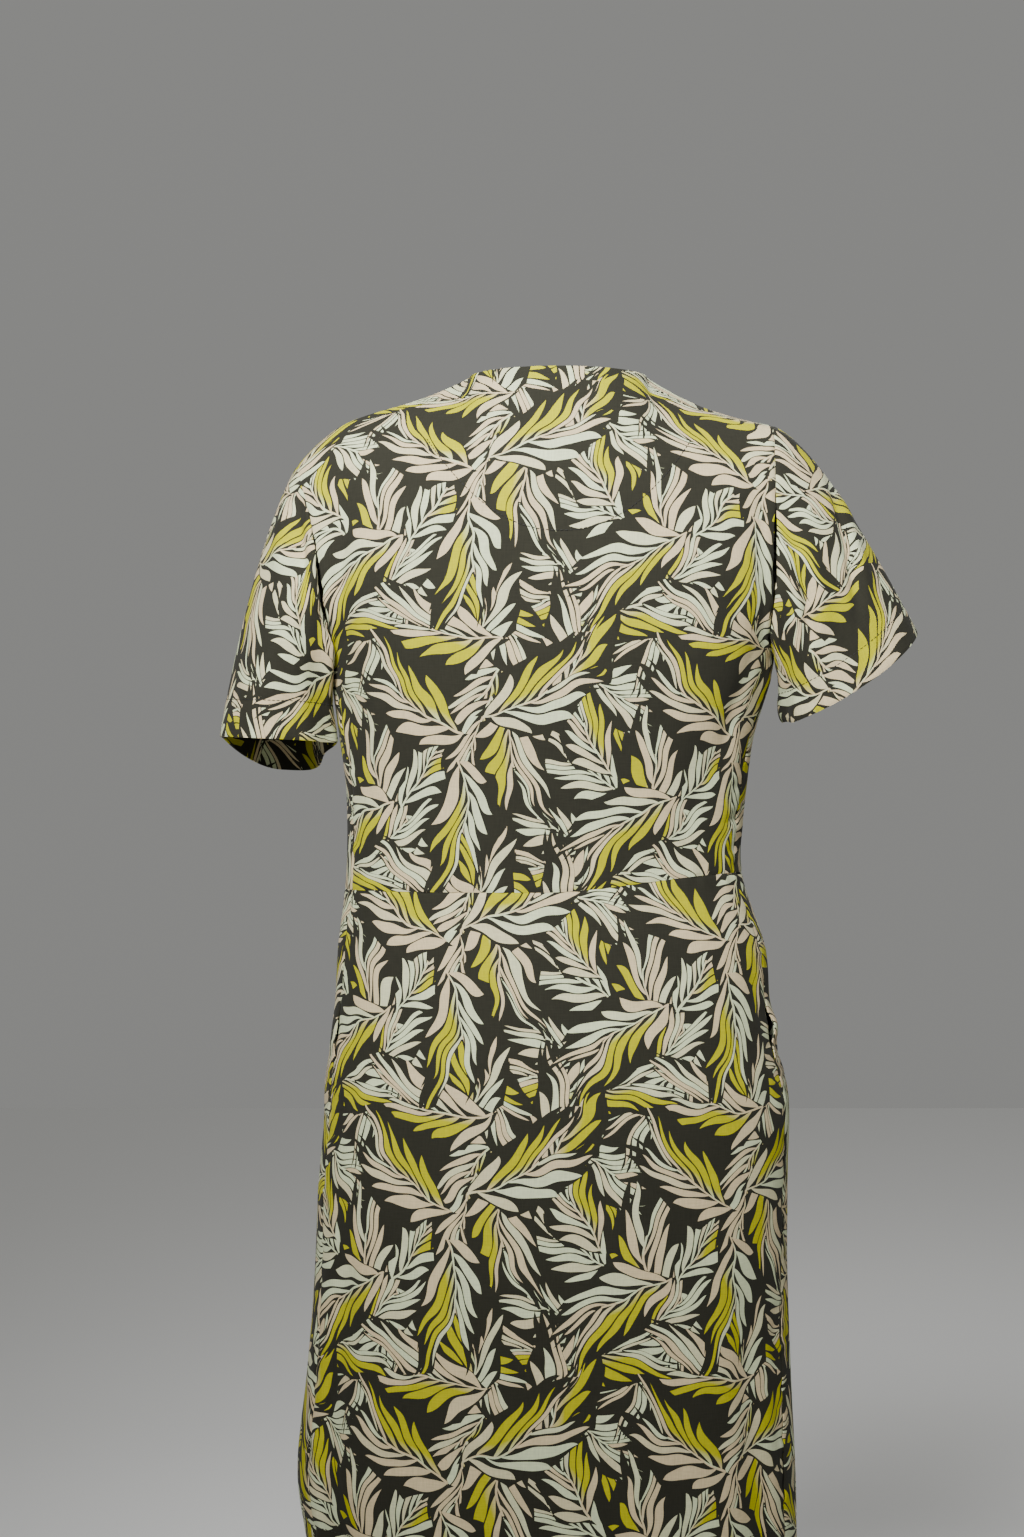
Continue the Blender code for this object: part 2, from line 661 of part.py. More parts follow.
def bag_point(skirt, side, place, corner, trim):
    """A point of a pocket bag, at a place across the front skirt. The corners go down the bag's
    inner layer and up its outer one. trim moves the point into the bag's wall."""
    reach = (BAG_START - place) / (BAG_START - bag_places()[-1])
    spread = smoothstep(reach / 0.60)
    narrow = math.sqrt(max(1.0 - (max(reach - 0.4, 0.0) / 0.6) ** 2.4, 0.0))
    top = POCKET_TOP - BAG_EASE - 0.012 * spread
    foot = POCKET_FOOT + BAG_EASE - (BAG_DROP + BAG_EASE) * spread
    middle = (top + foot) / 2.0 - 0.012 * spread
    half_height = max((top - foot) / 2.0 * mix(0.3, 1.0, narrow) - trim, 0.001)
    layer_corners = BAG_CORNERS // 2
    drop = (2 * (corner % layer_corners) + 1) / layer_corners - 1.0
    layer = 1.0 if corner < layer_corners else -1.0
    height = middle - layer * drop * half_height
    point, outward = skirt_facet(skirt, side.sign * place, height)
    hollow = mix(gape_at(height), BAG_HOLLOW, smoothstep(reach / 0.13))
    hollow *= mix(0.35, 1.0, narrow)
    slack = BAG_SLACK * smoothstep(reach / 0.1) * smoothstep((0.75 - reach) / 0.35)
    near = WALL + BAG_GAP + slack
    far = near + 2.0 * BAG_WALL + max(hollow, BAG_GAP)
    half = max((far - near) / 2.0 * (1.0 - drop**4) ** 0.25 - trim, BAG_GAP / 4.0)
    return point - outward * ((near + far) / 2.0 + layer * half)


def pocket_bag(skirt, side):
    """A flat pouch, open at the mouth, hanging forward from the side seam inside the front skirt."""
    mesh = bmesh.new()

    def ring(place, trim):
        corners = [bag_point(skirt, side, place, corner, trim) for corner in range(BAG_CORNERS)]
        return [mesh.verts.new(point) for point in corners]

    places = bag_places()
    outer = [ring(place, 0.0) for place in places]
    inner = [ring(place, BAG_WALL) for place in places[:-1] + [mix(places[-1], places[-2], 0.15)]]
    for rings in (outer, inner):
        for one, other in zip(rings, rings[1:]):
            for i in range(BAG_CORNERS):
                j = (i + 1) % BAG_CORNERS
                mesh.faces.new((one[i], one[j], other[j], other[i]))
        mesh.faces.new(tuple(rings[-1]))
    for i in range(BAG_CORNERS):
        j = (i + 1) % BAG_CORNERS
        mesh.faces.new((inner[0][i], inner[0][j], outer[0][j], outer[0][i]))
    bmesh.ops.recalc_face_normals(mesh, faces=mesh.faces)
    bmesh.ops.triangulate(mesh, faces=[face for face in mesh.faces if len(face.verts) > 4])
    return finish_piece("pocket_" + side.name, mesh)


def main():
    for old in list(bpy.data.objects):
        bpy.data.objects.remove(old, do_unlink=True)
    pieces = {}
    for face in ("back", "front"):
        flip = face == "front"
        pieces[face + "_bodice"] = {"grid": bodice_grid(face), "closed": False, "flip": flip}
        pieces[face + "_skirt"] = {"grid": skirt_grid(face), "closed": False, "flip": flip}
    for side in SIDES:
        flip = side.name == "right"
        pieces["sleeve_" + side.name] = {"grid": sleeve_grid(side), "closed": True, "flip": flip}
    part_at_seams(pieces)
    open_pocket_lips(pieces["front_skirt"])
    for name, piece in pieces.items():
        shell(name, piece, WALL)
    for side in SIDES:
        pocket_bag(pieces["front_skirt"], side)


main()
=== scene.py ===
"""A short-sleeved shift dress of printed plain-weave cloth, as it hangs when it is worn.

Metres, +Z up. The back of the dress faces -Y and +X is the wearer's right. The file is laid out as
a small add-on: settings, one operator for each group of cut pieces, and a panel that lists them.
"""
import math
from collections import namedtuple
from functools import lru_cache

import bmesh
import bpy
import numpy as np
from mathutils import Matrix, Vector


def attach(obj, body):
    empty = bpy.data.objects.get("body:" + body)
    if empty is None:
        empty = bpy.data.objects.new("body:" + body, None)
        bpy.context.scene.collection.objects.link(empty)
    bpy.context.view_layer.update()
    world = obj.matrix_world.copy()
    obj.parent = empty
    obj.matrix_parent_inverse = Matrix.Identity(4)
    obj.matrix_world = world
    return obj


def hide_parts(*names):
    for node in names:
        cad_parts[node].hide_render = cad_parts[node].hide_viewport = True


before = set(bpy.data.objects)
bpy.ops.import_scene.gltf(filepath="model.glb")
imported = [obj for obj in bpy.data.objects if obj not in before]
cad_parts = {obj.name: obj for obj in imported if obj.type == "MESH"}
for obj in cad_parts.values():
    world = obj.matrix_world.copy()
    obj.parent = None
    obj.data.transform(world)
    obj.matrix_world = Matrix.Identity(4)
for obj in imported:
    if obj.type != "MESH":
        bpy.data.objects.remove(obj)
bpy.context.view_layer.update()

bl_info = {
    "name": "Shift dress",
    "version": (1, 0, 0),
    "blender": (4, 5, 0),
    "location": "View3D > Sidebar > Dress",
    "description": "Makes a printed shift dress with short sleeves and side-seam pockets",
    "category": "Object",
}

# ---- Body of the dress: the same sizes as the solids -------------------------------------------
HEM = -0.925
WAIST = -0.404
UNDERARM = -0.222
WAIST_RISE = 0.0135       # how much higher the waist seam lies on the right
WAIST_RISE_X = (-0.010, 0.150)   # from where to where it climbs
WAIST_RISE_REACH = 0.06   # and how far above and below the seam the cloth follows it
BODICE_HALF = 0.235       # half widths and heights of the pieces along the cloth, rounded
SKIRT_HALF = 0.255
BODICE_SIDE = 0.182
ARMHOLE_RISE = 0.240
SLEEVE_LENGTH = 0.205
SIDE_SHARE = 7.0 / 19.0   # the share of a bodice's climb that lies below the underarm

Section = namedtuple("Section", "height shift half_width back_depth front_depth squareness seam_turn")
SECTIONS = (
    Section(-0.925, 0.0030, 0.1935, 0.137, 0.135, 2.2, 68.0),
    Section(-0.865, -0.0020, 0.1975, 0.136, 0.133, 2.2, 69.0),
    Section(-0.790, -0.0010, 0.1930, 0.133, 0.129, 2.2, 71.0),
    Section(-0.700, 0.0005, 0.1885, 0.129, 0.124, 2.2, 73.0),
    Section(-0.630, 0.0025, 0.1865, 0.126, 0.119, 2.2, 75.0),
    Section(-0.560, 0.0040, 0.1825, 0.121, 0.115, 2.2, 75.0),
    Section(-0.530, 0.0037, 0.1765, 0.116, 0.113, 2.2, 75.0),
    Section(-0.500, 0.0030, 0.1725, 0.110, 0.110, 2.2, 75.0),
    Section(-0.450, 0.0000, 0.1670, 0.099, 0.105, 2.2, 74.0),
    Section(-0.404, -0.0045, 0.1575, 0.090, 0.102, 2.2, 73.0),
    Section(-0.360, -0.0040, 0.1580, 0.092, 0.107, 2.2, 73.0),
    Section(-0.320, -0.0024, 0.1600, 0.097, 0.115, 2.2, 74.0),
    Section(-0.285, -0.0020, 0.1640, 0.102, 0.122, 2.3, 76.0),
    Section(-0.250, -0.0005, 0.1700, 0.106, 0.127, 2.4, 79.0),
    Section(-0.222, 0.0000, 0.1750, 0.108, 0.127, 2.5, 82.0),
)
Spine = namedtuple("Spine", "climb depth_share")
BACK_SPINE = (Spine(0.0, 1.0), Spine(0.3, 0.995), Spine(0.6, 0.92), Spine(0.82, 0.77), Spine(1.0, 0.57))
FRONT_SPINE = (Spine(0.0, 1.0), Spine(0.3, 0.95), Spine(0.65, 0.78), Spine(1.0, 0.58))

NECK_X = 0.0075           # middle of the neck
NECK_HALF_WIDTH = 0.070
SHOULDER_Y = -0.012       # the shoulder seams, the middle of the back neck and of the front neck
NECK_BACK_Z = 0.003
NECK_FRONT_Z = -0.076
NECK_SHARE = 0.42         # the share of a bodice's top edge that is neckline
TOP_SPREAD = 0.16         # how far the top edge's shape spreads sideways going down

BUST_APEX_X = (-0.082, 0.086)
BUST_APEX_Z = -0.238
BUST_SPREAD = 0.052
BUST_FULLNESS = 0.013

# tip is the end of the shoulder seam and bow its arch. The scoops cut the armhole forwards and
# backwards, and the pinches draw it in.
Side = namedtuple("Side", "name sign tip_x tip_z bow bow_place back_scoop front_scoop back_pinch front_pinch")
SIDES = (
    Side("left", -1.0, -0.199, -0.0710, 0.0145, 2.1, 0.047, 0.064, 0.0070, 0.014),
    Side("right", 1.0, 0.1765, -0.0385, -0.0060, 0.9, 0.047, 0.064, 0.0000, 0.012),
)
# The hems of the sleeves are rounded rings
Cuff = namedtuple("Cuff", "middle inward half_width half_depth front_drop squareness")
CUFFS = {
    "left": Cuff((-0.2165, 0.004, -0.2860), (1.0, 0.0, -0.05), 0.0445, 0.066, 0.024, 2.2),
    "right": Cuff((0.2385, 0.002, -0.2390), (-0.836, 0.0, -0.548), 0.0640, 0.053, 0.004, 2.2),
}
# How the cloth of a sleeve leaves the armhole and arrives at the hem, on three of its sides
Run = namedtuple("Run", "leave arrive")
RUNS = {
    "left": {
        "underarm": Run((-0.030, 0.0, -0.045), (0.028, 0.0, -0.060)),
        "side": Run((-0.030, 0.050, -0.110), (-0.010, 0.0, -0.150)),
        "top": Run((-0.070, 0.0, -0.120), (-0.050, 0.0, -0.280)),
    },
    "right": {
        "underarm": Run((0.030, 0.0, -0.045), (0.020, 0.0, -0.060)),
        "side": Run((0.060, 0.030, -0.080), (0.060, 0.0, -0.100)),
        "top": Run((0.120, 0.0, -0.050), (0.100, 0.0, -0.190)),
    },
}

# Largest folds. across runs from -1 to 1 over a panel and climb from 0 at its foot to 1.
Fold = namedtuple("Fold", "across_low climb_low across_high climb_high width depth")
FOLDS = {
    "back_bodice": (
        Fold(-0.86, 0.30, -0.90, 0.72, 0.11, -0.0050),
        Fold(0.88, 0.34, 0.90, 0.70, 0.10, -0.0035),
        Fold(0.55, 0.05, 0.80, 0.38, 0.12, -0.0025),
    ),
    "front_bodice": (
        Fold(-0.80, 0.52, -0.62, 0.72, 0.10, -0.0040),
        Fold(0.80, 0.52, 0.62, 0.72, 0.10, -0.0040),
    ),
    "back_skirt": (
        Fold(-0.82, 0.00, -0.78, 0.45, 0.09, -0.0060),
        Fold(0.80, 0.00, 0.74, 0.40, 0.10, -0.0050),
        Fold(0.10, 0.00, 0.05, 0.35, 0.14, -0.0030),
    ),
    "front_skirt": (
        Fold(-0.60, 0.00, -0.52, 0.45, 0.11, -0.0055),
        Fold(0.58, 0.00, 0.50, 0.42, 0.12, -0.0050),
        Fold(-0.05, 0.00, 0.00, 0.38, 0.14, -0.0035),
    ),
}
# on a sleeve: turn goes round it in degrees and along from the armhole (0) to the hem (1)
SleeveFold = namedtuple("SleeveFold", "turn_top along_top turn_hem along_hem width depth")
SLEEVE_FOLDS = {
    "left": (
        SleeveFold(62.0, 0.15, 42.0, 0.95, 15.0, -0.0060),
        SleeveFold(318.0, 0.10, 330.0, 0.90, 16.0, -0.0050),
    ),
    "right": (
        SleeveFold(58.0, 0.10, 22.0, 0.80, 14.0, -0.0050),
        SleeveFold(305.0, 0.10, 332.0, 0.90, 16.0, -0.0050),
    ),
}

POCKET_TOP = -0.468
POCKET_FOOT = -0.590
LIP_FADE = 0.20          # share of the front skirt's half over which a lip settles back
# How the front lip of each pocket mouth stands out: at a height, over a half height, by how much
Lip = namedtuple("Lip", "height reach stand")
LIPS = {
    "left": (Lip(-0.519, 0.036, 0.0026), Lip(-0.560, 0.030, 0.0010)),
    "right": (Lip(-0.511, 0.020, 0.0046), Lip(-0.530, 0.050, 0.0016)),
}
BAG_START = 0.990        # a bag goes from here to its end, as places across the front skirt
BAG_END = 0.52
BAG_DROP = 0.075         # how far it hangs below its mouth
BAG_EASE = 0.010         # how much shorter than the mouth it starts, above and below
BAG_FALL = 0.012         # how far its top and its middle sink on the way in
BAG_SPREAD = 0.60        # the share of its reach over which it comes to its full height
BAG_ROUND = 0.4          # from this share of its reach on the bag grows narrow
BAG_ROUND_POWER = 2.4    # how late it does so
BAG_TIP = (0.3, 0.35)    # the shares of its height and of its hollow that are left at its end
BAG_HOLLOW = 0.0100      # between its layers
BAG_MOUTH = 0.13         # the share of its reach over which the mouth's gap passes into that
BAG_GAP = 0.0010         # between the skirt and the bag
BAG_SLACK = 0.0012       # what the middle of the bag adds to that gap
SLACK_GROWS = 0.1        # the share of its reach over which it does so
SLACK_FADES = (0.75, 0.35)   # where that ends, and over how much of its reach
BAG_SAG = 0.0007         # height of the waves in its inner layer
SAG_WAVES = (150.0, 7.0)   # how they turn going up and going in, in radians
SAG_GROWS = 0.3          # the share of its reach over which they grow
BAG_STEP = (0.004, 0.001)   # steps across and up over which the skirt's slope is read
BAG_WALL = 0.0006
BAG_RINGS = 26
BAG_CORNERS = 44

# ---- Fineness, seams and edges --------------------------------------------------------------------
CELL = 0.0040            # usual spacing of the grid
SEAM_STEPS = (0.0, 0.0005, 0.0011, 0.0020, 0.0034)   # spacing next to a seam or edge
SEAM_BACK = 0.00005      # each piece stands back this far from a seam
SLEEVE_COLUMNS = 96

# How deep the cloth dips along a line, and over what width
Dip = namedtuple("Dip", "depth width")
SEAM_LINE = Dip(0.0006, 0.0016)
SLEEVE_SEAM = Dip(0.0006, 0.0022)
OPEN_EDGE = Dip(0.0004, 0.0012)
HALF_MOON_ROW = Dip(0.0004, 0.0026)
SKIRT_HEM_ROW = Dip(0.00035, 0.0022)
SLEEVE_HEM_ROW = Dip(0.00045, 0.0024)

# Small uneven ripples that sewing draws into the cloth: how deep, and how far they reach
Pucker = namedtuple("Pucker", "depth reach")
SEAM_PUCKER = Pucker(0.00045, 0.011)
HEM_PUCKER = Pucker(0.0003, 0.008)
PUCKER_WAVES = (0.0192, 0.0127, 0.0301, 0.0083)

HEM_DEPTH = 0.028        # depth of the turned skirt hem
SLEEVE_HEM = {"left": 0.030, "right": 0.025}
HEM_EXTRA = 0.0007       # what a turned hem adds to the wall
HEM_STEP = 0.0015        # over what height it ends
NECK_EXTRA = 0.0004      # what the turned neck edge adds, and how far it reaches
NECK_DEPTH = 0.010

HALF_MOON_FOOT = -0.128  # the half-moon row of stitches: its lowest point, its rise and half width
HALF_MOON_RISE = 0.078
HALF_MOON_WIDTH = 0.105
HALF_MOON_POWER = 2.2
STITCH_PROUD = 0.0003    # how far that row stands out from the cloth

# ---- How the sleeves hang -------------------------------------------------------------------------
# Turns are in degrees round a sleeve: 0 faces the body, 90 the back, 180 out, -90 the front.
PRESS_MOST = {"left": 0.010, "right": 0.003}   # most that a sleeve moves in against the body
PRESS_GAP = 0.0022
PRESS_TOP = -0.19        # only below this level
PRESS_FROM = (-25.0, 30.0)   # the turn where it begins, and over how many degrees it grows
PRESS_TO = (80.0, 40.0)      # the turn where it ends, and over how many it fades
LEFT_LIFT = 0.010        # how far the front outer part of the left hem is raised
RIGHT_BOW = 0.008        # how far the back of the right hem bows outwards
BOW_WAY = (0.548, 0.0, -0.836)
RIGHT_TIP = 0.0045       # and how far its outer tip is raised
RIGHT_LATE = 0.45        # from this share of the right sleeve's length on

# ---- Creases placed one by one -------------------------------------------------------------------
# Places in metres of flat cloth: u from the piece's middle, v up from the waist. bow bends a crease
# sideways. A negative depth is a trough. Each fades over CREASE_FADE of its length at both ends,
# from CREASE_BLUNT of the way up.
CREASE_FADE = 0.35
CREASE_BLUNT = 0.25
Crease = namedtuple("Crease", "u0 v0 u1 v1 bow width depth")
CREASES = {
    "back_bodice": (
        Crease(-0.176, 0.215, -0.150, 0.075, 0.006, 0.0095, -0.0020),
        Crease(-0.196, 0.165, -0.182, 0.035, -0.003, 0.0070, -0.0018),
        Crease(-0.158, 0.318, -0.172, 0.225, -0.005, 0.0075, -0.0024),
        Crease(-0.120, 0.062, -0.085, 0.008, 0.004, 0.0075, -0.0011),
        Crease(0.178, 0.200, 0.146, 0.085, -0.006, 0.0095, -0.0018),
        Crease(0.203, 0.120, 0.168, 0.098, 0.002, 0.0055, -0.0017),
        Crease(0.204, 0.070, 0.162, 0.052, -0.003, 0.0060, -0.0015),
        Crease(0.163, 0.330, 0.181, 0.245, 0.005, 0.0070, -0.0018),
        Crease(0.062, 0.050, 0.098, 0.007, -0.003, 0.0070, -0.0010),
        Crease(-0.030, 0.300, -0.022, 0.180, 0.008, 0.0200, -0.0010),
        Crease(0.040, 0.270, 0.054, 0.160, -0.006, 0.0180, 0.0008),
        Crease(-0.040, 0.030, -0.034, 0.004, 0.000, 0.0060, -0.0008),
        Crease(0.012, 0.024, 0.018, 0.004, 0.000, 0.0050, -0.0007),
    ),
    "front_bodice": (
        Crease(-0.190, 0.205, -0.128, 0.235, 0.004, 0.0090, -0.0022),
        Crease(0.188, 0.208, 0.122, 0.242, -0.004, 0.0090, -0.0020),
        Crease(-0.150, 0.120, -0.110, 0.020, 0.006, 0.0120, -0.0016),
        Crease(0.155, 0.115, 0.118, 0.025, -0.006, 0.0120, -0.0018),
        Crease(-0.050, 0.130, -0.040, 0.015, -0.005, 0.0150, -0.0012),
        Crease(0.058, 0.120, 0.046, 0.012, 0.005, 0.0140, -0.0012),
        Crease(-0.020, 0.230, 0.024, 0.222, -0.010, 0.0160, -0.0014),
        Crease(-0.205, 0.060, -0.172, 0.040, 0.002, 0.0065, -0.0015),
        Crease(0.206, 0.072, 0.176, 0.046, -0.002, 0.0060, -0.0014),
    ),
    "back_skirt": (
        Crease(-0.196, -0.505, -0.186, -0.370, 0.003, 0.0075, -0.0034),
        Crease(-0.175, -0.480, -0.170, -0.330, -0.004, 0.0100, 0.0018),
        Crease(0.214, -0.500, 0.200, -0.300, 0.004, 0.0100, -0.0024),
        Crease(0.194, -0.180, 0.150, -0.110, -0.004, 0.0085, -0.0016),
        Crease(0.198, -0.120, 0.168, -0.060, 0.003, 0.0065, -0.0015),
        Crease(-0.196, -0.210, -0.160, -0.140, 0.004, 0.0080, -0.0014),
        Crease(-0.190, -0.070, -0.150, -0.020, 0.003, 0.0075, -0.0012),
        Crease(-0.075, -0.520, -0.060, -0.300, 0.006, 0.0200, -0.0018),
        Crease(0.098, -0.520, 0.080, -0.330, -0.006, 0.0220, -0.0016),
        Crease(-0.060, -0.035, -0.052, -0.004, 0.000, 0.0060, -0.0008),
        Crease(0.030, -0.028, 0.026, -0.004, 0.000, 0.0055, -0.0007),
        Crease(0.092, -0.030, 0.100, -0.004, 0.001, 0.0060, -0.0009),
    ),
    "front_skirt": (
        Crease(-0.232, -0.500, -0.214, -0.330, 0.004, 0.0100, -0.0030),
        Crease(0.230, -0.500, 0.216, -0.320, -0.004, 0.0100, -0.0028),
        Crease(-0.100, -0.520, -0.080, -0.280, 0.008, 0.0240, -0.0020),
        Crease(0.090, -0.520, 0.074, -0.260, -0.008, 0.0240, -0.0020),
        Crease(-0.180, -0.120, -0.130, -0.040, 0.005, 0.0100, -0.0015),
        Crease(0.184, -0.130, 0.138, -0.045, -0.005, 0.0100, -0.0015),
        Crease(-0.030, -0.040, -0.026, -0.004, 0.000, 0.0070, -0.0008),
        Crease(0.050, -0.036, 0.046, -0.004, 0.000, 0.0065, -0.0008),
    ),
    # on the sleeves v goes down from the highest point of the armhole, and u towards the back
    "sleeve_left": (
        Crease(0.060, -0.045, 0.118, -0.135, 0.008, 0.0120, -0.0040),
        Crease(0.095, -0.060, 0.150, -0.120, 0.006, 0.0080, -0.0022),
        Crease(0.030, -0.120, 0.050, -0.200, -0.004, 0.0120, -0.0016),
        Crease(-0.080, -0.060, -0.135, -0.140, -0.008, 0.0100, -0.0024),
        Crease(-0.040, -0.110, -0.060, -0.195, 0.004, 0.0120, -0.0016),
        Crease(0.036, -0.014, 0.092, -0.082, -0.002, 0.0070, -0.0050),
        Crease(0.024, -0.026, 0.064, -0.086, -0.002, 0.0090, 0.0028),
        Crease(0.086, -0.110, 0.104, -0.200, 0.003, 0.0090, -0.0018),
    ),
    "sleeve_right": (
        Crease(0.060, -0.040, 0.122, -0.122, 0.008, 0.0120, -0.0044),
        Crease(0.100, -0.050, 0.150, -0.105, 0.005, 0.0075, -0.0024),
        Crease(0.020, -0.090, 0.045, -0.180, -0.004, 0.0120, -0.0015),
        Crease(-0.075, -0.055, -0.130, -0.130, -0.008, 0.0100, -0.0022),
        Crease(-0.035, -0.100, -0.055, -0.180, 0.004, 0.0120, -0.0015),
        Crease(0.012, -0.062, 0.080, -0.168, 0.003, 0.0058, -0.0044),
        Crease(0.002, -0.072, 0.060, -0.160, 0.003, 0.0090, 0.0018),
        Crease(0.108, -0.100, 0.132, -0.162, 0.000, 0.0065, -0.0042),
        Crease(0.094, -0.104, 0.112, -0.160, 0.000, 0.0090, 0.0024),
    ),
}
# Small ripples drawn in beside a side seam: from v0 at the seam to v1 at a distance, v as above
Ripple = namedtuple("Ripple", "edge v0 reach v1 width depth")
RIPPLES = {
    "front_skirt": (
        Ripple("right", -0.119, 0.024, -0.123, 0.0028, -0.0021),
        Ripple("right", -0.127, 0.034, -0.132, 0.0027, -0.0024),
        Ripple("right", -0.136, 0.024, -0.141, 0.0028, -0.0022),
        Ripple("right", -0.145, 0.030, -0.149, 0.0027, -0.0020),
        Ripple("right", -0.153, 0.022, -0.160, 0.0030, -0.0010),
        Ripple("right", -0.318, 0.018, -0.322, 0.0026, -0.0008),
        Ripple("right", -0.331, 0.024, -0.337, 0.0030, -0.0010),
        Ripple("right", -0.347, 0.016, -0.351, 0.0026, -0.0008),
        Ripple("left", -0.146, 0.024, -0.151, 0.0026, -0.0011),
        Ripple("left", -0.155, 0.018, -0.160, 0.0022, -0.0012),
        Ripple("left", -0.164, 0.026, -0.171, 0.0028, -0.0011),
        Ripple("left", -0.176, 0.018, -0.181, 0.0024, -0.0010),
    ),
    "back_skirt": (
        Ripple("right", -0.121, 0.018, -0.127, 0.0026, -0.0015),
        Ripple("right", -0.131, 0.026, -0.139, 0.0026, -0.0017),
        Ripple("right", -0.142, 0.016, -0.148, 0.0026, -0.0014),
        Ripple("right", -0.320, 0.014, -0.326, 0.0026, -0.0007),
        Ripple("right", -0.336, 0.020, -0.342, 0.0028, -0.0008),
        Ripple("left", -0.060, 0.016, -0.066, 0.0030, -0.0008),
        Ripple("left", -0.148, 0.016, -0.154, 0.0024, -0.0010),
        Ripple("left", -0.158, 0.022, -0.166, 0.0024, -0.0011),
        Ripple("left", -0.170, 0.014, -0.176, 0.0026, -0.0009),
    ),
    "back_bodice": (
        Ripple("right", 0.085, 0.016, 0.079, 0.0032, -0.0011),
        Ripple("right", 0.060, 0.022, 0.050, 0.0030, -0.0012),
        Ripple("right", 0.034, 0.014, 0.029, 0.0030, -0.0009),
        Ripple("left", 0.040, 0.014, 0.034, 0.0034, -0.0008),
        Ripple("left", 0.100, 0.020, 0.090, 0.0036, -0.0009),
    ),
    "front_bodice": (
        Ripple("right", 0.070, 0.018, 0.062, 0.0032, -0.0011),
        Ripple("right", 0.044, 0.014, 0.039, 0.0030, -0.0010),
        Ripple("left", 0.062, 0.018, 0.054, 0.0032, -0.0010),
        Ripple("left", 0.036, 0.014, 0.031, 0.0030, -0.0009),
    ),
}
# Side darts of the front: from the side seam to a little short of the bust
DARTS = (
    Crease(-0.226, 0.112, -0.128, 0.152, 0.000, 0.0026, -0.0013),
    Crease(0.226, 0.112, 0.128, 0.152, 0.000, 0.0026, -0.0013),
)
# Where each piece was cut from the printed cloth
CUT_PLACES = {
    "back_bodice": (0.031, 0.052),
    "front_bodice": (0.118, 0.147),
    "back_skirt": (0.043, 0.012),
    "front_skirt": (0.149, 0.088),
    "sleeve_left": (0.190, 0.066),
    "sleeve_right": (0.082, 0.181),
    "pocket_left": (0.010, 0.120),
    "pocket_right": (0.100, 0.020),
}


# ---- Shape: level sections, shoulders and armholes ----------------------------------------------
def mix(low, high, share):
    return low + (high - low) * share


def smoothstep(value):
    value = min(max(value, 0.0), 1.0)
    return value * value * (3.0 - 2.0 * value)


def soft(values):
    """smoothstep for arrays."""
    values = np.clip(values, 0.0, 1.0)
    return values * values * (3.0 - 2.0 * values)


def cubic(t, start, leave, end, arrive):
    """A point of the cubic from start to end that leaves and arrives with the given slopes."""
    return (
        (2 * t**3 - 3 * t**2 + 1) * start
        + (t**3 - 2 * t**2 + t) * leave
        + (3 * t**2 - 2 * t**3) * end
        + (t**3 - t**2) * arrive
    )


def curve_value(rows, key, column, place):
    """A smooth curve through one column of a table, read at a place along its key column."""
    keys = [getattr(row, key) for row in rows]
    values = [getattr(row, column) for row in rows]
    if place <= keys[0]:
        return values[0]
    if place >= keys[-1]:
        return values[-1]
    step = next(i for i in range(len(keys) - 1) if place <= keys[i + 1])

    def slope(i):
        low = max(i - 1, 0)
        high = min(i + 1, len(keys) - 1)
        return (values[high] - values[low]) / (keys[high] - keys[low])

    span = keys[step + 1] - keys[step]
    share = (place - keys[step]) / span
    return cubic(share, values[step], span * slope(step), values[step + 1], span * slope(step + 1))


@lru_cache(maxsize=4096)
def section_at(height):
    columns = [curve_value(SECTIONS, "height", name, height) for name in Section._fields[1:]]
    return Section(height, *columns)


def power_of(value, power):
    return math.copysign(abs(value) ** power, value)


def ring_point(section, turn):
    """A point on a level section. turn is 0 at the centre back and grows towards +X, in radians."""
    power = 2.0 / section.squareness
    across = power_of(math.sin(turn), power)
    behind = power_of(math.cos(turn), power)
    depth = section.back_depth if behind > 0.0 else section.front_depth
    x = section.shift + section.half_width * across
    near_waist = math.exp(-(((section.height - WAIST) / WAIST_RISE_REACH) ** 2))
    low, high = WAIST_RISE_X
    lift = WAIST_RISE * smoothstep((x - low) / (high - low)) * near_waist
    return Vector((x, -depth * behind, section.height + lift))


def half_width_at(section, y):
    """Half the width of a level section at a depth."""
    depth = section.back_depth if y < 0.0 else section.front_depth
    share = max(1.0 - abs(y / depth) ** section.squareness, 0.0)
    return section.half_width * share ** (1.0 / section.squareness)


def panel_turn(face, across, section):
    """The angle round a section for a place across a panel, from -1 to 1 towards +X."""
    seam = math.radians(section.seam_turn)
    if face == "back":
        return across * seam
    return math.copysign(math.pi, across) - across * (math.pi - seam)


@lru_cache(maxsize=4096)
def neck_middle(face):
    if face == "back":
        depth = -section_at(UNDERARM).back_depth * BACK_SPINE[-1].depth_share
        return depth, NECK_BACK_Z
    return section_at(UNDERARM).front_depth * FRONT_SPINE[-1].depth_share, NECK_FRONT_Z


def shoulder_point(side, share):
    """A point on the shoulder seam, from the neck (0) to the tip (1)."""
    neck = Vector((NECK_X + side.sign * NECK_HALF_WIDTH, SHOULDER_Y, 0.0))
    tip = Vector((side.tip_x, SHOULDER_Y, side.tip_z))
    point = neck.lerp(tip, share)
    point.z += side.bow * math.sin(math.pi * share**side.bow_place)
    return point


def neckline_point(face, turn):
    """A point on the neckline: turn is 0 in the middle and a right angle at the shoulder seams."""
    middle_y, middle_z = neck_middle(face)
    return Vector((
        NECK_X + NECK_HALF_WIDTH * math.sin(turn),
        mix(SHOULDER_Y, middle_y, math.cos(turn)),
        mix(0.0, middle_z, math.cos(turn)),
    ))


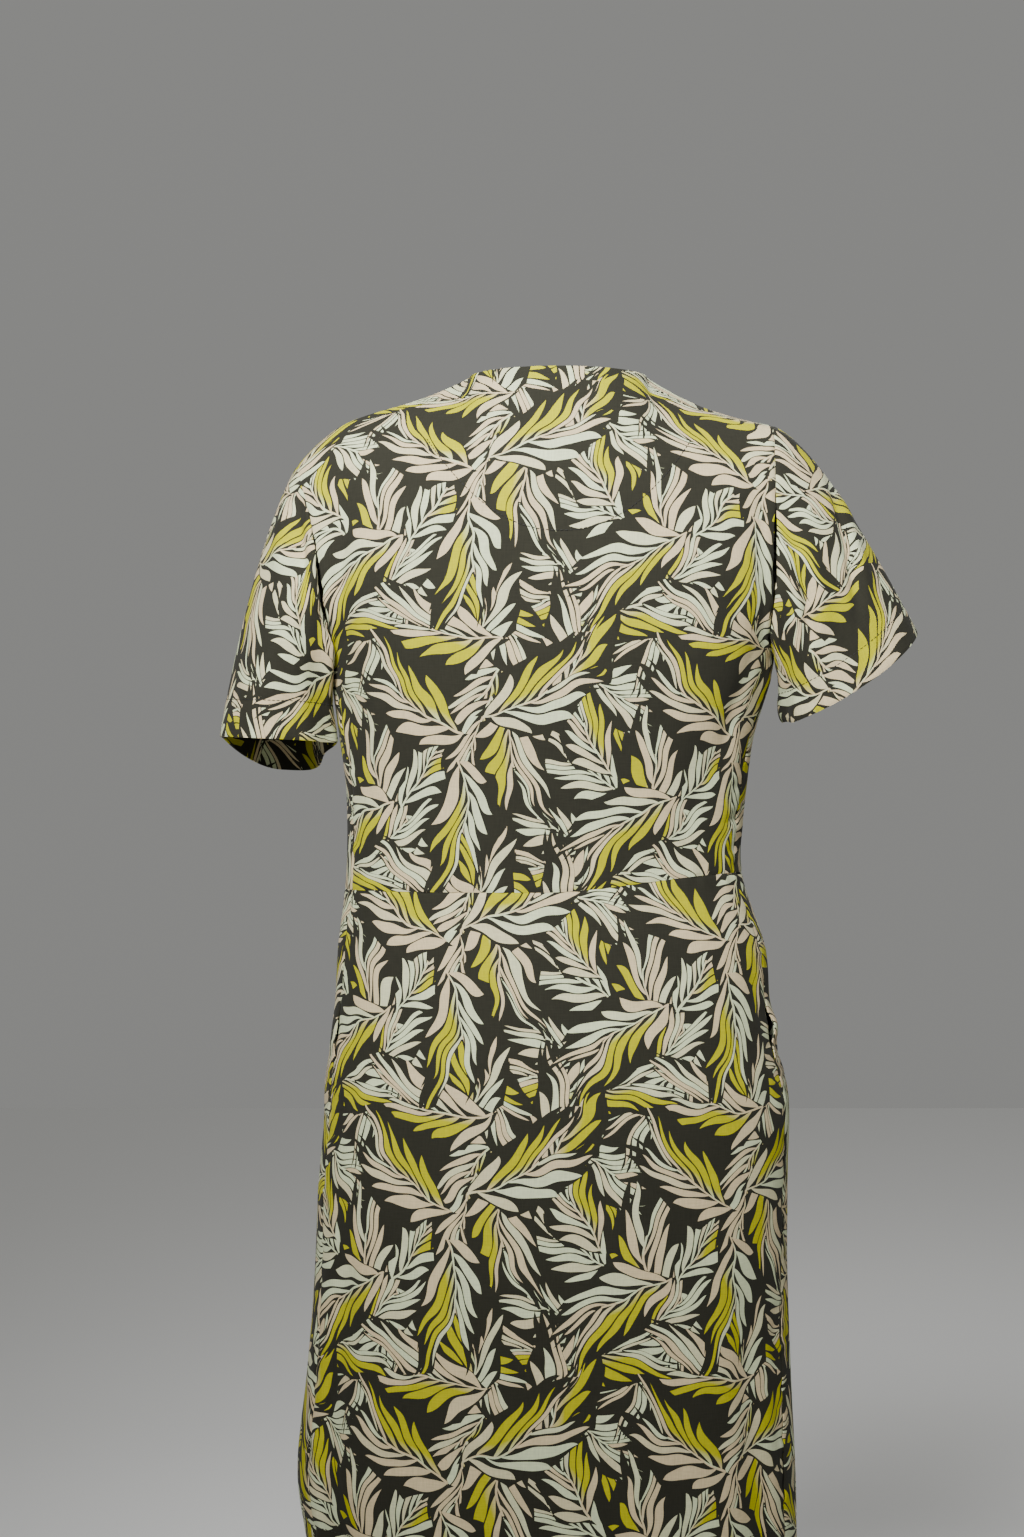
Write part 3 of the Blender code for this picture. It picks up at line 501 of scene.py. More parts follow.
def top_point(face, across):
    """The top edge of a bodice: half a neckline with a shoulder seam on each side."""
    if abs(across) <= NECK_SHARE:
        return neckline_point(face, math.pi / 2 * across / NECK_SHARE)
    side = SIDES[0] if across < 0.0 else SIDES[1]
    return shoulder_point(side, (abs(across) - NECK_SHARE) / (1.0 - NECK_SHARE))


@lru_cache(maxsize=8192)
def armhole_point(face, side, climb):
    """A point on the armhole, from the underarm (0) to the tip of the shoulder (1)."""
    section = section_at(UNDERARM)
    low = ring_point(section, side.sign * math.radians(section.seam_turn))
    tip = Vector((side.tip_x, SHOULDER_Y, side.tip_z))
    turn = math.pi * climb
    point = low.lerp(tip, (1.0 - math.cos(turn)) / 2.0)
    bulge = math.sin(turn)
    back = face == "back"
    point.y += bulge * (-side.back_scoop if back else side.front_scoop)
    pinch = side.back_pinch if back else side.front_pinch
    point.x -= side.sign * pinch * bulge**2
    outline = section.shift + side.sign * half_width_at(section, point.y)
    point.x = mix(outline, point.x, smoothstep(climb / 0.35))
    return point.freeze()


@lru_cache(maxsize=16384)
def underarm_point(face, across):
    section = section_at(UNDERARM)
    return ring_point(section, panel_turn(face, across, section)).freeze()


@lru_cache(maxsize=4096)
def spine_point(face, climb):
    foot = underarm_point(face, 0.0)
    spine = BACK_SPINE if face == "back" else FRONT_SPINE
    return Vector((
        mix(foot.x, NECK_X, smoothstep(climb)),
        foot.y * curve_value(spine, "climb", "depth_share", climb),
        mix(UNDERARM, neck_middle(face)[1], climb),
    )).freeze()


def arched_point(face, across, climb):
    """An evenly arched bodice above the underarm (climb 0) up to the height of its top (1)."""
    side = SIDES[0] if across < 0.0 else SIDES[1]
    foot_middle = underarm_point(face, 0.0)
    foot_edge = underarm_point(face, side.sign)
    foot = underarm_point(face, across)
    middle = spine_point(face, climb)
    edge = armhole_point(face, side, climb)
    round_x = (foot.x - foot_middle.x) / (foot_edge.x - foot_middle.x)
    round_y = (foot.y - foot_middle.y) / (foot_edge.y - foot_middle.y)
    flat = abs(across)
    return Vector((
        mix(middle.x, edge.x, mix(round_x, flat, smoothstep(climb))),
        mix(middle.y, edge.y, round_y),
        mix(middle.z, edge.z, mix(flat**2, flat**1.3, climb)),
    ))


@lru_cache(maxsize=16384)
def top_difference(face, place):
    return (top_point(face, place) - arched_point(face, place, 1.0)).freeze()


def top_shaping(face, across, climb):
    """What the true top edge adds to the even arch. It fades and spreads out going down."""
    spread = TOP_SPREAD * (1.0 - climb)
    total = Vector()
    for step in (-2, -1, 0, 1, 2):
        place = min(max(across + step * spread, -1.0), 1.0)
        total += top_difference(face, round(place, 5))
    total *= smoothstep((1.0 - abs(across)) / max(0.25 * (1.0 - climb), 1e-6)) / 5.0
    early = mix(climb**3, smoothstep(climb), 0.6)
    return Vector((total.x * early, total.y * climb**4, total.z * early))


def bust_push(point, across, climb):
    """Soft fullness over the bust, which the darts of the front give."""
    push = 0.0
    for apex_x in BUST_APEX_X:
        away = ((point.x - apex_x) / BUST_SPREAD) ** 2 + ((point.z - BUST_APEX_Z) / BUST_SPREAD) ** 2
        push += BUST_FULLNESS * math.exp(-away)
    return push * smoothstep((1.0 - abs(across)) / 0.3) * smoothstep(climb / 0.15)


FOLD_FADE = 0.35         # a fold fades out over this share of its length beyond its ends
FOLD_END = 1.35          # where along its length it is gone
FOLD_HEM_FADE = 0.6      # over how much of its length a fold that starts at the hem fades
FOLD_HELD = (0.12, 0.08)   # the shares across and up a panel over which its seams hold it


def fold_push(folds, across, climb, held_foot):
    """How far the largest folds move a point of a panel outwards. Its seams stay in place."""
    push = 0.0
    for fold in folds:
        rise = fold.climb_high - fold.climb_low
        share = (climb - fold.climb_low) / rise
        line = mix(fold.across_low, fold.across_high, min(max(share, 0.0), 1.0))
        inside = smoothstep((share + FOLD_FADE) / FOLD_FADE) * smoothstep((FOLD_END - share) / FOLD_FADE)
        if fold.climb_low <= 0.0:
            inside = smoothstep((FOLD_END - share) / FOLD_HEM_FADE)
        push += fold.depth * inside * math.exp(-(((across - line) / fold.width) ** 2))
    held = smoothstep((1.0 - abs(across)) / FOLD_HELD[0]) * smoothstep((1.0 - climb) / FOLD_HELD[1])
    if held_foot:
        held *= smoothstep(climb / FOLD_HELD[1])
    return push * held


def bodice_point(face, place):
    """A point of a bodice. place is (kind of row, height or climb, place across)."""
    kind, height, across = place
    if kind == "lower":
        section = section_at(height)
        point = ring_point(section, panel_turn(face, across, section))
        climb = SIDE_SHARE * (height - WAIST) / (UNDERARM - WAIST)
    else:
        point = arched_point(face, across, height) + top_shaping(face, across, height)
        climb = mix(SIDE_SHARE, 1.0, height)
    outward = fold_push(FOLDS[face + "_bodice"], across, climb, held_foot=True)
    if face == "front":
        point.y += bust_push(point, across, climb) + outward
    else:
        point.y -= outward
    return point


def skirt_point(face, across, height):
    section = section_at(height)
    point = ring_point(section, panel_turn(face, across, section))
    outward = (point - Vector((section.shift, 0.0, point.z))).normalized()
    climb = (height - HEM) / (WAIST - HEM)
    return point + outward * fold_push(FOLDS[face + "_skirt"], across, climb, held_foot=False)


def cuff_point(side, turn):
    """A point on a sleeve's hem: turn 0 faces the body, a right angle the back, 180 degrees out."""
    cuff = CUFFS[side.name]
    power = 2.0 / cuff.squareness
    inward = Vector(cuff.inward).normalized()
    point = Vector(cuff.middle)
    point += inward * cuff.half_width * power_of(math.cos(turn), power)
    point += Vector((0.0, -1.0, 0.0)) * cuff.half_depth * power_of(math.sin(turn), power)
    point.z -= cuff.front_drop * smoothstep(-math.sin(turn))
    return point


def sleeve_point(side, turn_share, along):
    """turn_share goes once round from the underarm by way of the back, along from armhole to hem."""
    turn = 2.0 * math.pi * turn_share
    if turn_share <= 0.5:
        start = armhole_point("back", side, round(2.0 * turn_share, 6))
    else:
        start = armhole_point("front", side, round(2.0 - 2.0 * turn_share, 6))
    end = cuff_point(side, turn)
    under = max(math.cos(turn), 0.0) ** 2
    over = max(-math.cos(turn), 0.0) ** 2
    leave = Vector()
    arrive = Vector()
    for name, weight in (("underarm", under), ("side", 1.0 - under - over), ("top", over)):
        run = RUNS[side.name][name]
        facing = -math.sin(turn) if name == "side" else 1.0
        leave += weight * Vector((run.leave[0], run.leave[1] * facing, run.leave[2]))
        arrive += weight * Vector((run.arrive[0], run.arrive[1] * facing, run.arrive[2]))
    return cubic(along, start, leave, end, arrive)


# Small corrections of the outline, shared by every piece: at a place, over a reach, how far the
# cloth moves to +X.
Ease = namedtuple("Ease", "x z reach_x reach_z move")
EASES = (
    Ease(0.172, -0.236, 0.030, 0.030, 0.0040),
    Ease(-0.165, -0.355, 0.030, 0.050, 0.0024),
    Ease(-0.185, -0.590, 0.030, 0.035, 0.0024),
    Ease(-0.192, -0.720, 0.030, 0.110, 0.0032),
    Ease(0.170, -0.455, 0.030, 0.028, 0.0034),
    Ease(0.188, -0.575, 0.030, 0.035, 0.0028),
)


def eased(grid):
    """The grid with the corrections of the outline."""
    move = np.zeros(grid.shape[:-1])
    for ease in EASES:
        away = ((grid[..., 0] - ease.x) / ease.reach_x) ** 2 + ((grid[..., 2] - ease.z) / ease.reach_z) ** 2
        move += ease.move * np.exp(-away)
    grid = grid.copy()
    grid[..., 0] += move
    return grid


# ---- Grids ---------------------------------------------------------------------------------------
def graded(length, low_edge=True, high_edge=True, cell=CELL):
    """Places from 0 to 1 over a length, closer together next to a seam or edge."""
    low = list(SEAM_STEPS) if low_edge else [0.0]
    high = [length - step for step in reversed(SEAM_STEPS)] if high_edge else [length]
    inner = high[0] - low[-1]
    count = max(round(inner / cell), 2)
    middle = [low[-1] + inner * i / count for i in range(1, count)]
    return np.array(low + middle + high) / length


def panel_places(half_length):
    """Places across a panel from -1 to 1, with one exactly at each end of the neckline."""
    back = SEAM_BACK / half_length
    outer = graded(half_length * (1.0 - NECK_SHARE), low_edge=False) * (1.0 - back - NECK_SHARE)
    right = NECK_SHARE + outer
    inner = np.linspace(0.0, NECK_SHARE, round(half_length * NECK_SHARE / CELL) + 1)[:-1]
    half = np.concatenate([inner, right])
    return np.concatenate([-half[:0:-1], half])


def bodice_grid(face):
    places = panel_places(BODICE_HALF)
    shares = graded(BODICE_SIDE, high_edge=False)[:-1]
    rows = [("lower", mix(WAIST, UNDERARM, share)) for share in shares]
    rows[0] = ("lower", WAIST + SEAM_BACK)
    climbs = graded(ARMHOLE_RISE, low_edge=False) * (1.0 - SEAM_BACK / ARMHOLE_RISE)
    rows += [("upper", climb) for climb in climbs]
    return np.array([[bodice_point(face, (kind, at, a)) for a in places] for kind, at in rows])


def skirt_grid(face):
    places = panel_places(SKIRT_HALF)
    heights = mix(HEM, WAIST - SEAM_BACK, graded(WAIST - HEM))
    grid = np.array([[skirt_point(face, a, h) for a in places] for h in heights])
    if face == "front":
        outward = normals_of(grid, flip=True)
        fade = 1.0 - soft((1.0 - np.abs(places)) / LIP_FADE)
        for side in SIDES:
            stand = np.array([lip_stand(side.name, h) for h in heights])
            here = fade * (np.sign(places) == side.sign)
            grid = grid + outward * (stand[:, None] * here[None, :])[:, :, None]
    return grid


def lip_stand(side_name, height):
    """How far the front lip of a pocket mouth stands out at a height."""
    total = 0.0
    for lip in LIPS[side_name]:
        away = abs(height - lip.height) / lip.reach
        if away < 1.0:
            total += lip.stand * math.cos(math.pi / 2.0 * away) ** 2
    return total


def sleeve_grid(side):
    turns = np.linspace(0.0, 1.0, SLEEVE_COLUMNS + 1)[:-1]
    alongs = graded(SLEEVE_LENGTH)
    alongs[0] = SEAM_BACK / SLEEVE_LENGTH
    grid = np.array([[sleeve_point(side, turn, t) for turn in turns] for t in alongs])
    middle = grid.mean(axis=1, keepdims=True)
    out = grid - middle
    out /= np.linalg.norm(out, axis=2, keepdims=True)
    push = np.zeros(grid.shape[:2])
    for fold in SLEEVE_FOLDS[side.name]:
        share = (alongs - fold.along_top) / (fold.along_hem - fold.along_top)
        line = mix(fold.turn_top, fold.turn_hem, share)[:, None]
        away = (360.0 * turns[None, :] - line + 180.0) % 360.0 - 180.0
        push += fold.depth * np.exp(-((away / fold.width) ** 2))
    push *= soft(alongs / 0.3)[:, None]
    grid = grid + out * push[:, :, None]
    # the side next to the body lies against it
    angle = 360.0 * turns - 360.0 * (turns > 0.5)
    near = soft((angle - PRESS_FROM[0]) / PRESS_FROM[1]) * soft((PRESS_TO[0] - angle) / PRESS_TO[1])
    room = side.sign * (grid[..., 0] - PRESS_GAP * side.sign) - outline_at(grid, side)
    press = np.clip(room * (grid[..., 2] < PRESS_TOP), 0.0, PRESS_MOST[side.name])
    grid[..., 0] -= side.sign * press * near[None, :] * soft(alongs / 0.22)[:, None]
    turn = np.radians(angle)[None, :]
    outer, behind = -np.cos(turn), np.sin(turn)
    if side.name == "right":
        late = soft((alongs - RIGHT_LATE) / (1.0 - RIGHT_LATE))[:, None]
        grid = grid + np.array(BOW_WAY) * (RIGHT_BOW * late * np.maximum(behind, 0.0))[:, :, None]
        grid[..., 2] += RIGHT_TIP * late * np.maximum(outer, 0.0) ** 2
    if side.name == "left":
        grid[..., 2] += LEFT_LIFT * soft(-behind) * soft(outer) * soft(alongs)[:, None]
    return eased(grid)


def outline_at(grid, side):
    """How far out the body reaches at the depth and height of each point."""
    reach = np.zeros(grid.shape[:2])
    for index in np.ndindex(reach.shape):
        section = section_at(round(min(float(grid[index][2]), UNDERARM), 3))
        reach[index] = side.sign * section.shift + half_width_at(section, grid[index][1])
    return reach


def normals_of(grid, flip, closed=False):
    """Outward directions at the points of a grid."""
    if closed:
        over = np.roll(grid, -1, axis=1) - np.roll(grid, 1, axis=1)
    else:
        over = np.gradient(grid, axis=1)
    up = np.gradient(grid, axis=0)
    normal = np.cross(over, up)
    normal /= np.maximum(np.linalg.norm(normal, axis=2, keepdims=True), 1e-12)
    return -normal if flip else normal


def panel_cloth(grid):
    """Flat-cloth places of a panel: across from its middle column, and up from its foot."""
    step = np.diff(grid, axis=1)
    over = running_length(np.hypot(step[..., 0], step[..., 1]), 1)
    middle = grid.shape[1] // 2
    over -= over[:, middle:middle + 1]
    rise = np.diff(grid, axis=0)
    up = running_length(np.hypot(rise[..., 1], rise[..., 2]), 0)
    return over, up


def sleeve_cloth(side, grid):
    """Flat-cloth places of a sleeve: round it from its top line, and down from the highest point of
    the armhole, below 0, with one more column that closes the ring. Then the length down each column."""
    top = SLEEVE_COLUMNS // 2
    ring = np.concatenate([grid, grid[:, :1]], axis=1)
    over = running_length(np.linalg.norm(np.diff(ring, axis=1), axis=2), 1)
    over = over[:, top:top + 1] - over
    down = running_length(np.linalg.norm(np.diff(grid, axis=0), axis=2), 0)
    axis = Vector(CUFFS[side.name].middle) - Vector(grid[0].mean(axis=0))
    start = (grid[0] - grid[0, top]) @ np.array(axis.normalized())
    cloth_v = -(start[None, :] + down)
    return over, np.concatenate([cloth_v, cloth_v[:, :1]], axis=1), down


def crease_push(u, v, creases):
    """How far the given creases move each point outwards."""
    push = np.zeros(u.shape)
    for crease in creases:
        du, dv = crease.u1 - crease.u0, crease.v1 - crease.v0
        length = math.hypot(du, dv)
        along = ((u - crease.u0) * du + (v - crease.v0) * dv) / length**2
        held = np.clip(along, 0.0, 1.0)
        side = ((u - crease.u0) * -dv + (v - crease.v0) * du) / length
        side = side - crease.bow * 4.0 * held * (1.0 - held)
        beyond = (along - held) * length
        away = (side**2 + beyond**2) / crease.width**2
        start = soft(along / CREASE_FADE + CREASE_BLUNT)
        end = soft((1.0 - along) / CREASE_FADE + CREASE_BLUNT)
        push += crease.depth * np.exp(-away) * start * end
    return push


def ripple_push(distance, v, ripples, edge):
    """How far the ripples beside one seam move each point outwards."""
    creases = [Crease(0.0, r.v0, r.reach, r.v1, 0.0, r.width, r.depth) for r in ripples if r.edge == edge]
    return crease_push(distance, v, creases)


def dip_push(distance, dip):
    """How far the cloth dips, by the distance from a seam, an edge or a row of stitches."""
    return -dip.depth * np.exp(-((distance / dip.width) ** 2))


def half_moon_height(x):
    """The level of the half-moon row of stitches below the back of the neck."""
    share = np.minimum(np.abs(x - NECK_X) / HALF_MOON_WIDTH, 1.0)
    return HALF_MOON_FOOT + HALF_MOON_RISE * share**HALF_MOON_POWER


def pucker_push(along, distance, seed, pucker=SEAM_PUCKER):
    """The ripples that sewing draws into the cloth. Another seed gives other ripples."""
    wave = np.zeros(along.shape)
    for i, length in enumerate(PUCKER_WAVES):
        wave += np.sin(along * 2.0 * math.pi / length + seed * (1.7 + i)) / (1.0 + 0.6 * i)
    return pucker.depth * wave * np.exp(-distance / pucker.reach)


def hem_extra(from_hem, depth):
    """What a turned hem adds to the wall, by the distance from the hem's edge."""
    return HEM_EXTRA * (1.0 - soft((from_hem - depth) / HEM_STEP))


def running_length(steps, axis):
    """The length along a grid's rows or columns, from 0, when its steps are given."""
    start = np.zeros_like(np.take(steps, [0], axis))
    return np.concatenate([start, np.cumsum(steps, axis=axis)], axis)


# ---- Closed thin walls ---------------------------------------------------------------------------
def placed(name, data):
    """A new object in the scene."""
    made = bpy.data.objects.new(name, data)
    bpy.context.scene.collection.objects.link(made)
    return made


def lay_out(mesh, node, across, up):
    """Give the corners of a mesh their places on the printed cloth that the piece was cut from."""
    cut_across, cut_up = CUT_PLACES[node]
    flat = np.stack([across + cut_across, up + cut_up], 1)
    mesh.uv_layers.new(name="cloth").data.foreach_set("uv", flat.astype(np.float32).ravel())


def cloth_wall(node, grid, thickness, over, cloth_v, flip, closed):
    """A thin closed wall: the given grid outside, its inner face, and a rim along each border."""
    inner = grid - normals_of(grid, flip, closed) * thickness[:, :, None]
    rows, columns = grid.shape[:2]
    count = rows * columns
    last = columns if closed else columns - 1
    row, column = (way.ravel() for way in np.meshgrid(np.arange(rows - 1), np.arange(last), indexing="ij"))
    steps = ((0, 0), (0, 1), (1, 1), (1, 0))
    cell = np.stack([np.stack([row + up, column + across], 1) for up, across in steps], 1)
    turned = thickness[row, column] > thickness.min() + HEM_EXTRA / 2.0
    # the grid places of each block of faces, what their points' numbers start from, and their
    # material: 0 is the right side of the cloth, which a turned hem shows inside too
    places = [cell[:, ::-1], cell] if flip else [cell, cell[:, ::-1]]
    starts = [0, count]
    slots = [np.zeros(len(cell), int), np.where(turned, 0, 1)]

    def rim(line, reverse):
        """Faces between the outer and the inner face along a line of grid places."""
        one, two = line[:-1], line[1:]
        quad, start = np.stack([one, two, two, one], 1), np.array([0, 0, count, count])
        places.append(quad[:, ::-1] if reverse else quad)
        starts.append(start[::-1] if reverse else start)
        slots.append(np.zeros(len(quad), int))

    across = np.arange(last + 1)
    rim(np.stack([np.zeros_like(across), across], 1), reverse=not flip)
    rim(np.stack([np.full_like(across, rows - 1), across], 1), reverse=flip)
    if not closed:
        up = np.arange(rows)
        rim(np.stack([up, np.zeros_like(up)], 1), reverse=flip)
        rim(np.stack([up, np.full_like(up, columns - 1)], 1), reverse=not flip)
    numbers = [
        block[..., 0] * columns + block[..., 1] % columns + start for block, start in zip(places, starts)
    ]
    points = np.concatenate([grid.reshape(-1, 3), inner.reshape(-1, 3)])
    mesh = bpy.data.meshes.new(node + "_cloth")
    mesh.from_pydata(points.tolist(), [], np.concatenate(numbers).tolist())
    at = np.concatenate(places).reshape(-1, 2)
    lay_out(mesh, node, over[at[:, 0], at[:, 1]], cloth_v[at[:, 0], at[:, 1]])
    mesh.polygons.foreach_set("material_index", np.concatenate(slots).astype(np.int32))
    mesh.shade_smooth()
    mesh.set_sharp_from_angle(angle=math.radians(50.0))
    mesh.update()
    made = placed(node + "_cloth", mesh)
    mesh.materials.append(cloth_material())
    mesh.materials.append(shaded_wrong_side_material())
    return made


FINISHED = {}            # the finished grid of each panel and sleeve, which the stitches follow
FROM_HEM = {}            # how far the points of each sleeve lie from its hem


def finish_cloth(made, node):
    """Hang a piece of cloth from the root, and hide the solid that it stands for."""
    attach(made, "root")
    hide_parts(node)


def finish_grid(node, grid, flip, push, thickness, over, cloth_v, closed=False):
    """Push a grid outwards by its creases and seams, and make the piece of cloth from it."""
    grid = grid + normals_of(grid, flip, closed) * push[:, :, None]
    made = cloth_wall(node, grid, thickness, over, cloth_v, flip, closed)
    finish_cloth(made, node)
    FINISHED[node] = grid


# ---- Materials -----------------------------------------------------------------------------------
# The print: palm sprays charted in layers, four to a layer and each in its own quarter of
# the repeat: the first, the one along, the one up and the one both along and up. A layer's shift
# moves it over the cloth, slide moves its every other row along by that share of a quarter, and
# seed gives its leaflets their own lengths, widths and tones. Later layers lie over earlier ones.
# In a spray, x and y are its place from the middle of its quarter, turn is the way its stem points
# in degrees, bend curves the stem, and size and leaflets set its scale and how close its leaflets
# stand. lean and curl set how far they point forward, yellow is where along the stem the bright
# ones sit (below 0 on the other side of it), span is over how much of it, and pale is the share of
# cool pale ones.
REPEAT = (0.222, 0.202)
ROWS_BELOW = 2000.0      # even, and more rows than any cloth reaches below the first one
Spray = namedtuple("Spray", "x y turn bend size leaflets lean curl yellow span pale")
Layer = namedtuple("Layer", "shift slide seed sprays")
LAYERS = (
    Layer((0.0275, -0.0335), 0.468, 23.0, (
        Spray(0.000, -0.010, 165, 0.14, 0.047, 5.5, 1.4, -0.6, 0.4, 0.25, 0.45),
        Spray(0.010, -0.012, 285, -0.12, 0.047, 5.5, 1.4, -0.6, -0.4, 0.20, 0.40),
        Spray(0.012, 0.003, 40, 0.14, 0.047, 5.5, 1.4, -0.6, 0.4, 0.00, 0.50),
        Spray(0.000, 0.006, 330, -0.14, 0.049, 5.5, 1.4, -0.6, -0.4, 0.25, 0.40),
    )),
    Layer((-0.083, -0.051), 0.50, 7.0, (
        Spray(0.000, 0.000, 35, 0.16, 0.049, 6.0, 1.3, -0.6, 0.3, 0.16, 0.80),
        Spray(0.000, 0.004, 160, -0.14, 0.049, 6.0, 1.3, -0.6, 0.0, 0.00, 0.75),
        Spray(0.002, 0.000, 320, 0.14, 0.049, 6.0, 1.3, -0.6, 0.0, 0.00, 0.90),
        Spray(0.002, -0.003, 225, 0.14, 0.050, 6.0, 1.3, -0.6, 0.4, 0.20, 0.60),
    )),
    Layer((-0.055, 0.000), 0.50, 3.0, (
        Spray(-0.002, -0.003, 215, 0.14, 0.050, 6.0, 1.3, -0.6, 0.0, 0.00, 0.80),
        Spray(0.003, 0.000, 330, -0.16, 0.050, 6.0, 1.3, -0.6, 0.5, 0.16, 0.70),
        Spray(-0.004, 0.002, 140, 0.14, 0.051, 6.0, 1.3, -0.6, 0.0, 0.00, 0.90),
        Spray(0.002, 0.004, 45, 0.14, 0.050, 6.0, 1.3, -0.6, -0.5, 0.20, 0.60),
    )),
    Layer((0.073, -0.0195), 0.212, 31.0, (
        Spray(0.002, 0.005, 75, 0.14, 0.050, 5.5, 1.4, -0.6, 0.40, 0.34, 0.40),
        Spray(-0.002, 0.000, 20, -0.14, 0.052, 5.5, 1.4, -0.6, -0.40, 0.34, 0.60),
        Spray(0.014, -0.006, 250, 0.12, 0.045, 5.5, 1.4, -0.6, 0.45, 0.30, 0.40),
        Spray(-0.014, 0.008, 130, -0.12, 0.045, 5.5, 1.4, -0.6, -0.45, 0.30, 0.60),
    )),
    Layer((0.000, 0.000), 0.50, 11.0, (
        Spray(0.002, -0.002, 62, 0.22, 0.059, 5.0, 1.5, -0.9, -0.40, 0.30, 0.25),
        Spray(-0.002, -0.003, 185, -0.20, 0.058, 5.2, 1.5, -0.8, 0.50, 0.32, 0.35),
        Spray(0.002, 0.003, 255, 0.22, 0.057, 5.0, 1.5, -0.8, -0.55, 0.30, 0.25),
        Spray(0.000, 0.000, 110, -0.22, 0.059, 4.8, 1.5, -0.9, 0.40, 0.32, 0.35),
    )),
    Layer((-0.028, -0.051), 0.50, 17.0, (
        Spray(0.002, 0.003, 195, 0.20, 0.058, 5.2, 1.5, -0.8, 0.50, 0.28, 0.30),
        Spray(0.000, 0.002, 290, -0.22, 0.057, 5.0, 1.5, -0.8, -0.50, 0.32, 0.40),
        Spray(0.000, 0.002, 12, 0.20, 0.058, 4.8, 1.5, -0.9, 0.50, 0.32, 0.30),
        Spray(0.000, -0.002, 160, -0.20, 0.059, 5.2, 1.5, -0.8, -0.40, 0.32, 0.35),
    )),
)
# Lengths in a spray are in its own size.
STEM_START = 0.90        # how far the foot of a stem lies behind the middle of its spray
STEM_ROUND = 0.6         # square of the place where a bent stem crosses its straight line
STEM_WIDE = 0.00072      # half width of a stem, in metres
STEM_SPAN = (0.49, 0.49)   # middle and half length of a drawn stem
LEAF_SPAN = (0.465, 0.525)   # and of the stretch of it that bears leaflets
LEAF_STAGGER = 0.45      # how far the two sides' leaflets are shifted against each other
SPRAY_FAN = 1.7          # how much the leaflets spread apart going out
LEAF_REACH = 0.49        # how far out the longest leaflet goes
LEAF_FALL = 0.55         # how much shorter the leaflets grow away from it
LEAF_BEST = 0.20         # where along the stem it sits
LEAF_LONG = (0.72, 0.40)   # least length of a leaflet as a share of that, and what chance adds to it
LEAF_WIDE = (1.38, 0.32)   # least width of a leaflet, and what chance adds to it
LEAF_FOOT = 0.85         # how slowly a leaflet widens from its foot
LEAF_TIP = 1.1           # how slowly it narrows to its tip
LEAF_END = 1.02          # where along its length it ends
LEAF_EDGE = 0.505        # the higher, the wider the gaps between leaflets
CLEAR_REACH = 0.96       # the ground shows between them out to their longest reach over this
YELLOW_START = 3.5       # the higher, the nearer its foot a bright leaflet takes its full colour
YELLOW_LEAST = 0.01      # a span below this gives no bright leaflets
TONE_STEEP = 3.0         # how sharply the pale leaflets part into warm and cool
TONE_START = -2.5
PRINT_DRIFT = 0.0100     # how far the outlines wander
PRINT_WAVE = 36.0        # and how often, in waves a metre

# Streaks of the threads, and soft unevenness of the dye
THREAD_STRETCH = 0.12    # how much slower a streak changes along its thread than across it
WEAVE_SHADE = 0.16
DYE_SHADE = 0.10
DYE_WAVE = 38.0
FIBRE_WAVE = 2600.0      # fineness of the fibres of the sewing thread, and how dark the dark ones are
FIBRE_SHADE = 0.6


class Net:
    """Adds nodes to a tree and links them."""

    def __init__(self, tree):
        self.tree = tree

    def node(self, kind, values=(), **settings):
        """A new node with the given settings, its inputs fed with values."""
        made = self.tree.nodes.new(kind)
        for name, value in settings.items():
            setattr(made, name, value)
        self.fill(made, values)
        return made

    def feed(self, socket, value):
        if isinstance(value, bpy.types.NodeSocket):
            self.tree.links.new(value, socket)
        else:
            socket.default_value = value

    def fill(self, node, values):
        """Feed the inputs of a node: in order, or by name or number."""
        pairs = values.items() if isinstance(values, dict) else enumerate(values)
        for key, value in pairs:
            self.feed(node.inputs[key], value)

    def math(self, operation, *values):
        return self.node("ShaderNodeMath", values, operation=operation).outputs[0]

    def vector(self, operation, *values):
        return self.node("ShaderNodeVectorMath", values, operation=operation).outputs[0]

    def split(self, value):
        return self.node("ShaderNodeSeparateXYZ", [value]).outputs

    def join(self, *values):
        return self.node("ShaderNodeCombineXYZ", values).outputs[0]

    def mix(self, share, one, other):
        values = {"Factor": share, 6: one, 7: other}
        return self.node("ShaderNodeMix", values, data_type="RGBA").outputs[2]

    def noise(self, place, scale, detail=1.0, dimensions="2D"):
        values = {"Vector": place, "Scale": scale, "Detail": detail}
        return self.node("ShaderNodeTexNoise", values, noise_dimensions=dimensions).outputs


def new_material(name):
    """A new material, the net of its nodes, and its surface node."""
    material = bpy.data.materials.new(name)
    material.use_nodes = True
    return material, Net(material.node_tree), material.node_tree.nodes["Principled BSDF"]


def new_group(name, inputs, outputs, kind="ShaderNodeTree"):
    group = bpy.data.node_groups.new(name, kind)
    for label, kind in inputs:
        group.interface.new_socket(label, in_out="INPUT", socket_type="NodeSocket" + kind)
    for label, kind in outputs:
        group.interface.new_socket(label, in_out="OUTPUT", socket_type="NodeSocket" + kind)
    net = Net(group)
    given = net.node("NodeGroupInput").outputs
    result = net.node("NodeGroupOutput").inputs
    return group, net, given, result


def chosen(net, cell, rows):
    """One of four vectors, by the quarter of the repeat: the first, 1 along, 1 up, or both."""
    here, along, up, both = (Vector(row) for row in rows)
    right, top = net.join(cell[0], cell[0], cell[0]), net.join(cell[1], cell[1], cell[1])
    low = net.vector("MULTIPLY_ADD", right, along - here, here)
    high = net.vector("MULTIPLY_ADD", right, both - along - up + here, up - here)
    return net.vector("MULTIPLY_ADD", top, high, low)


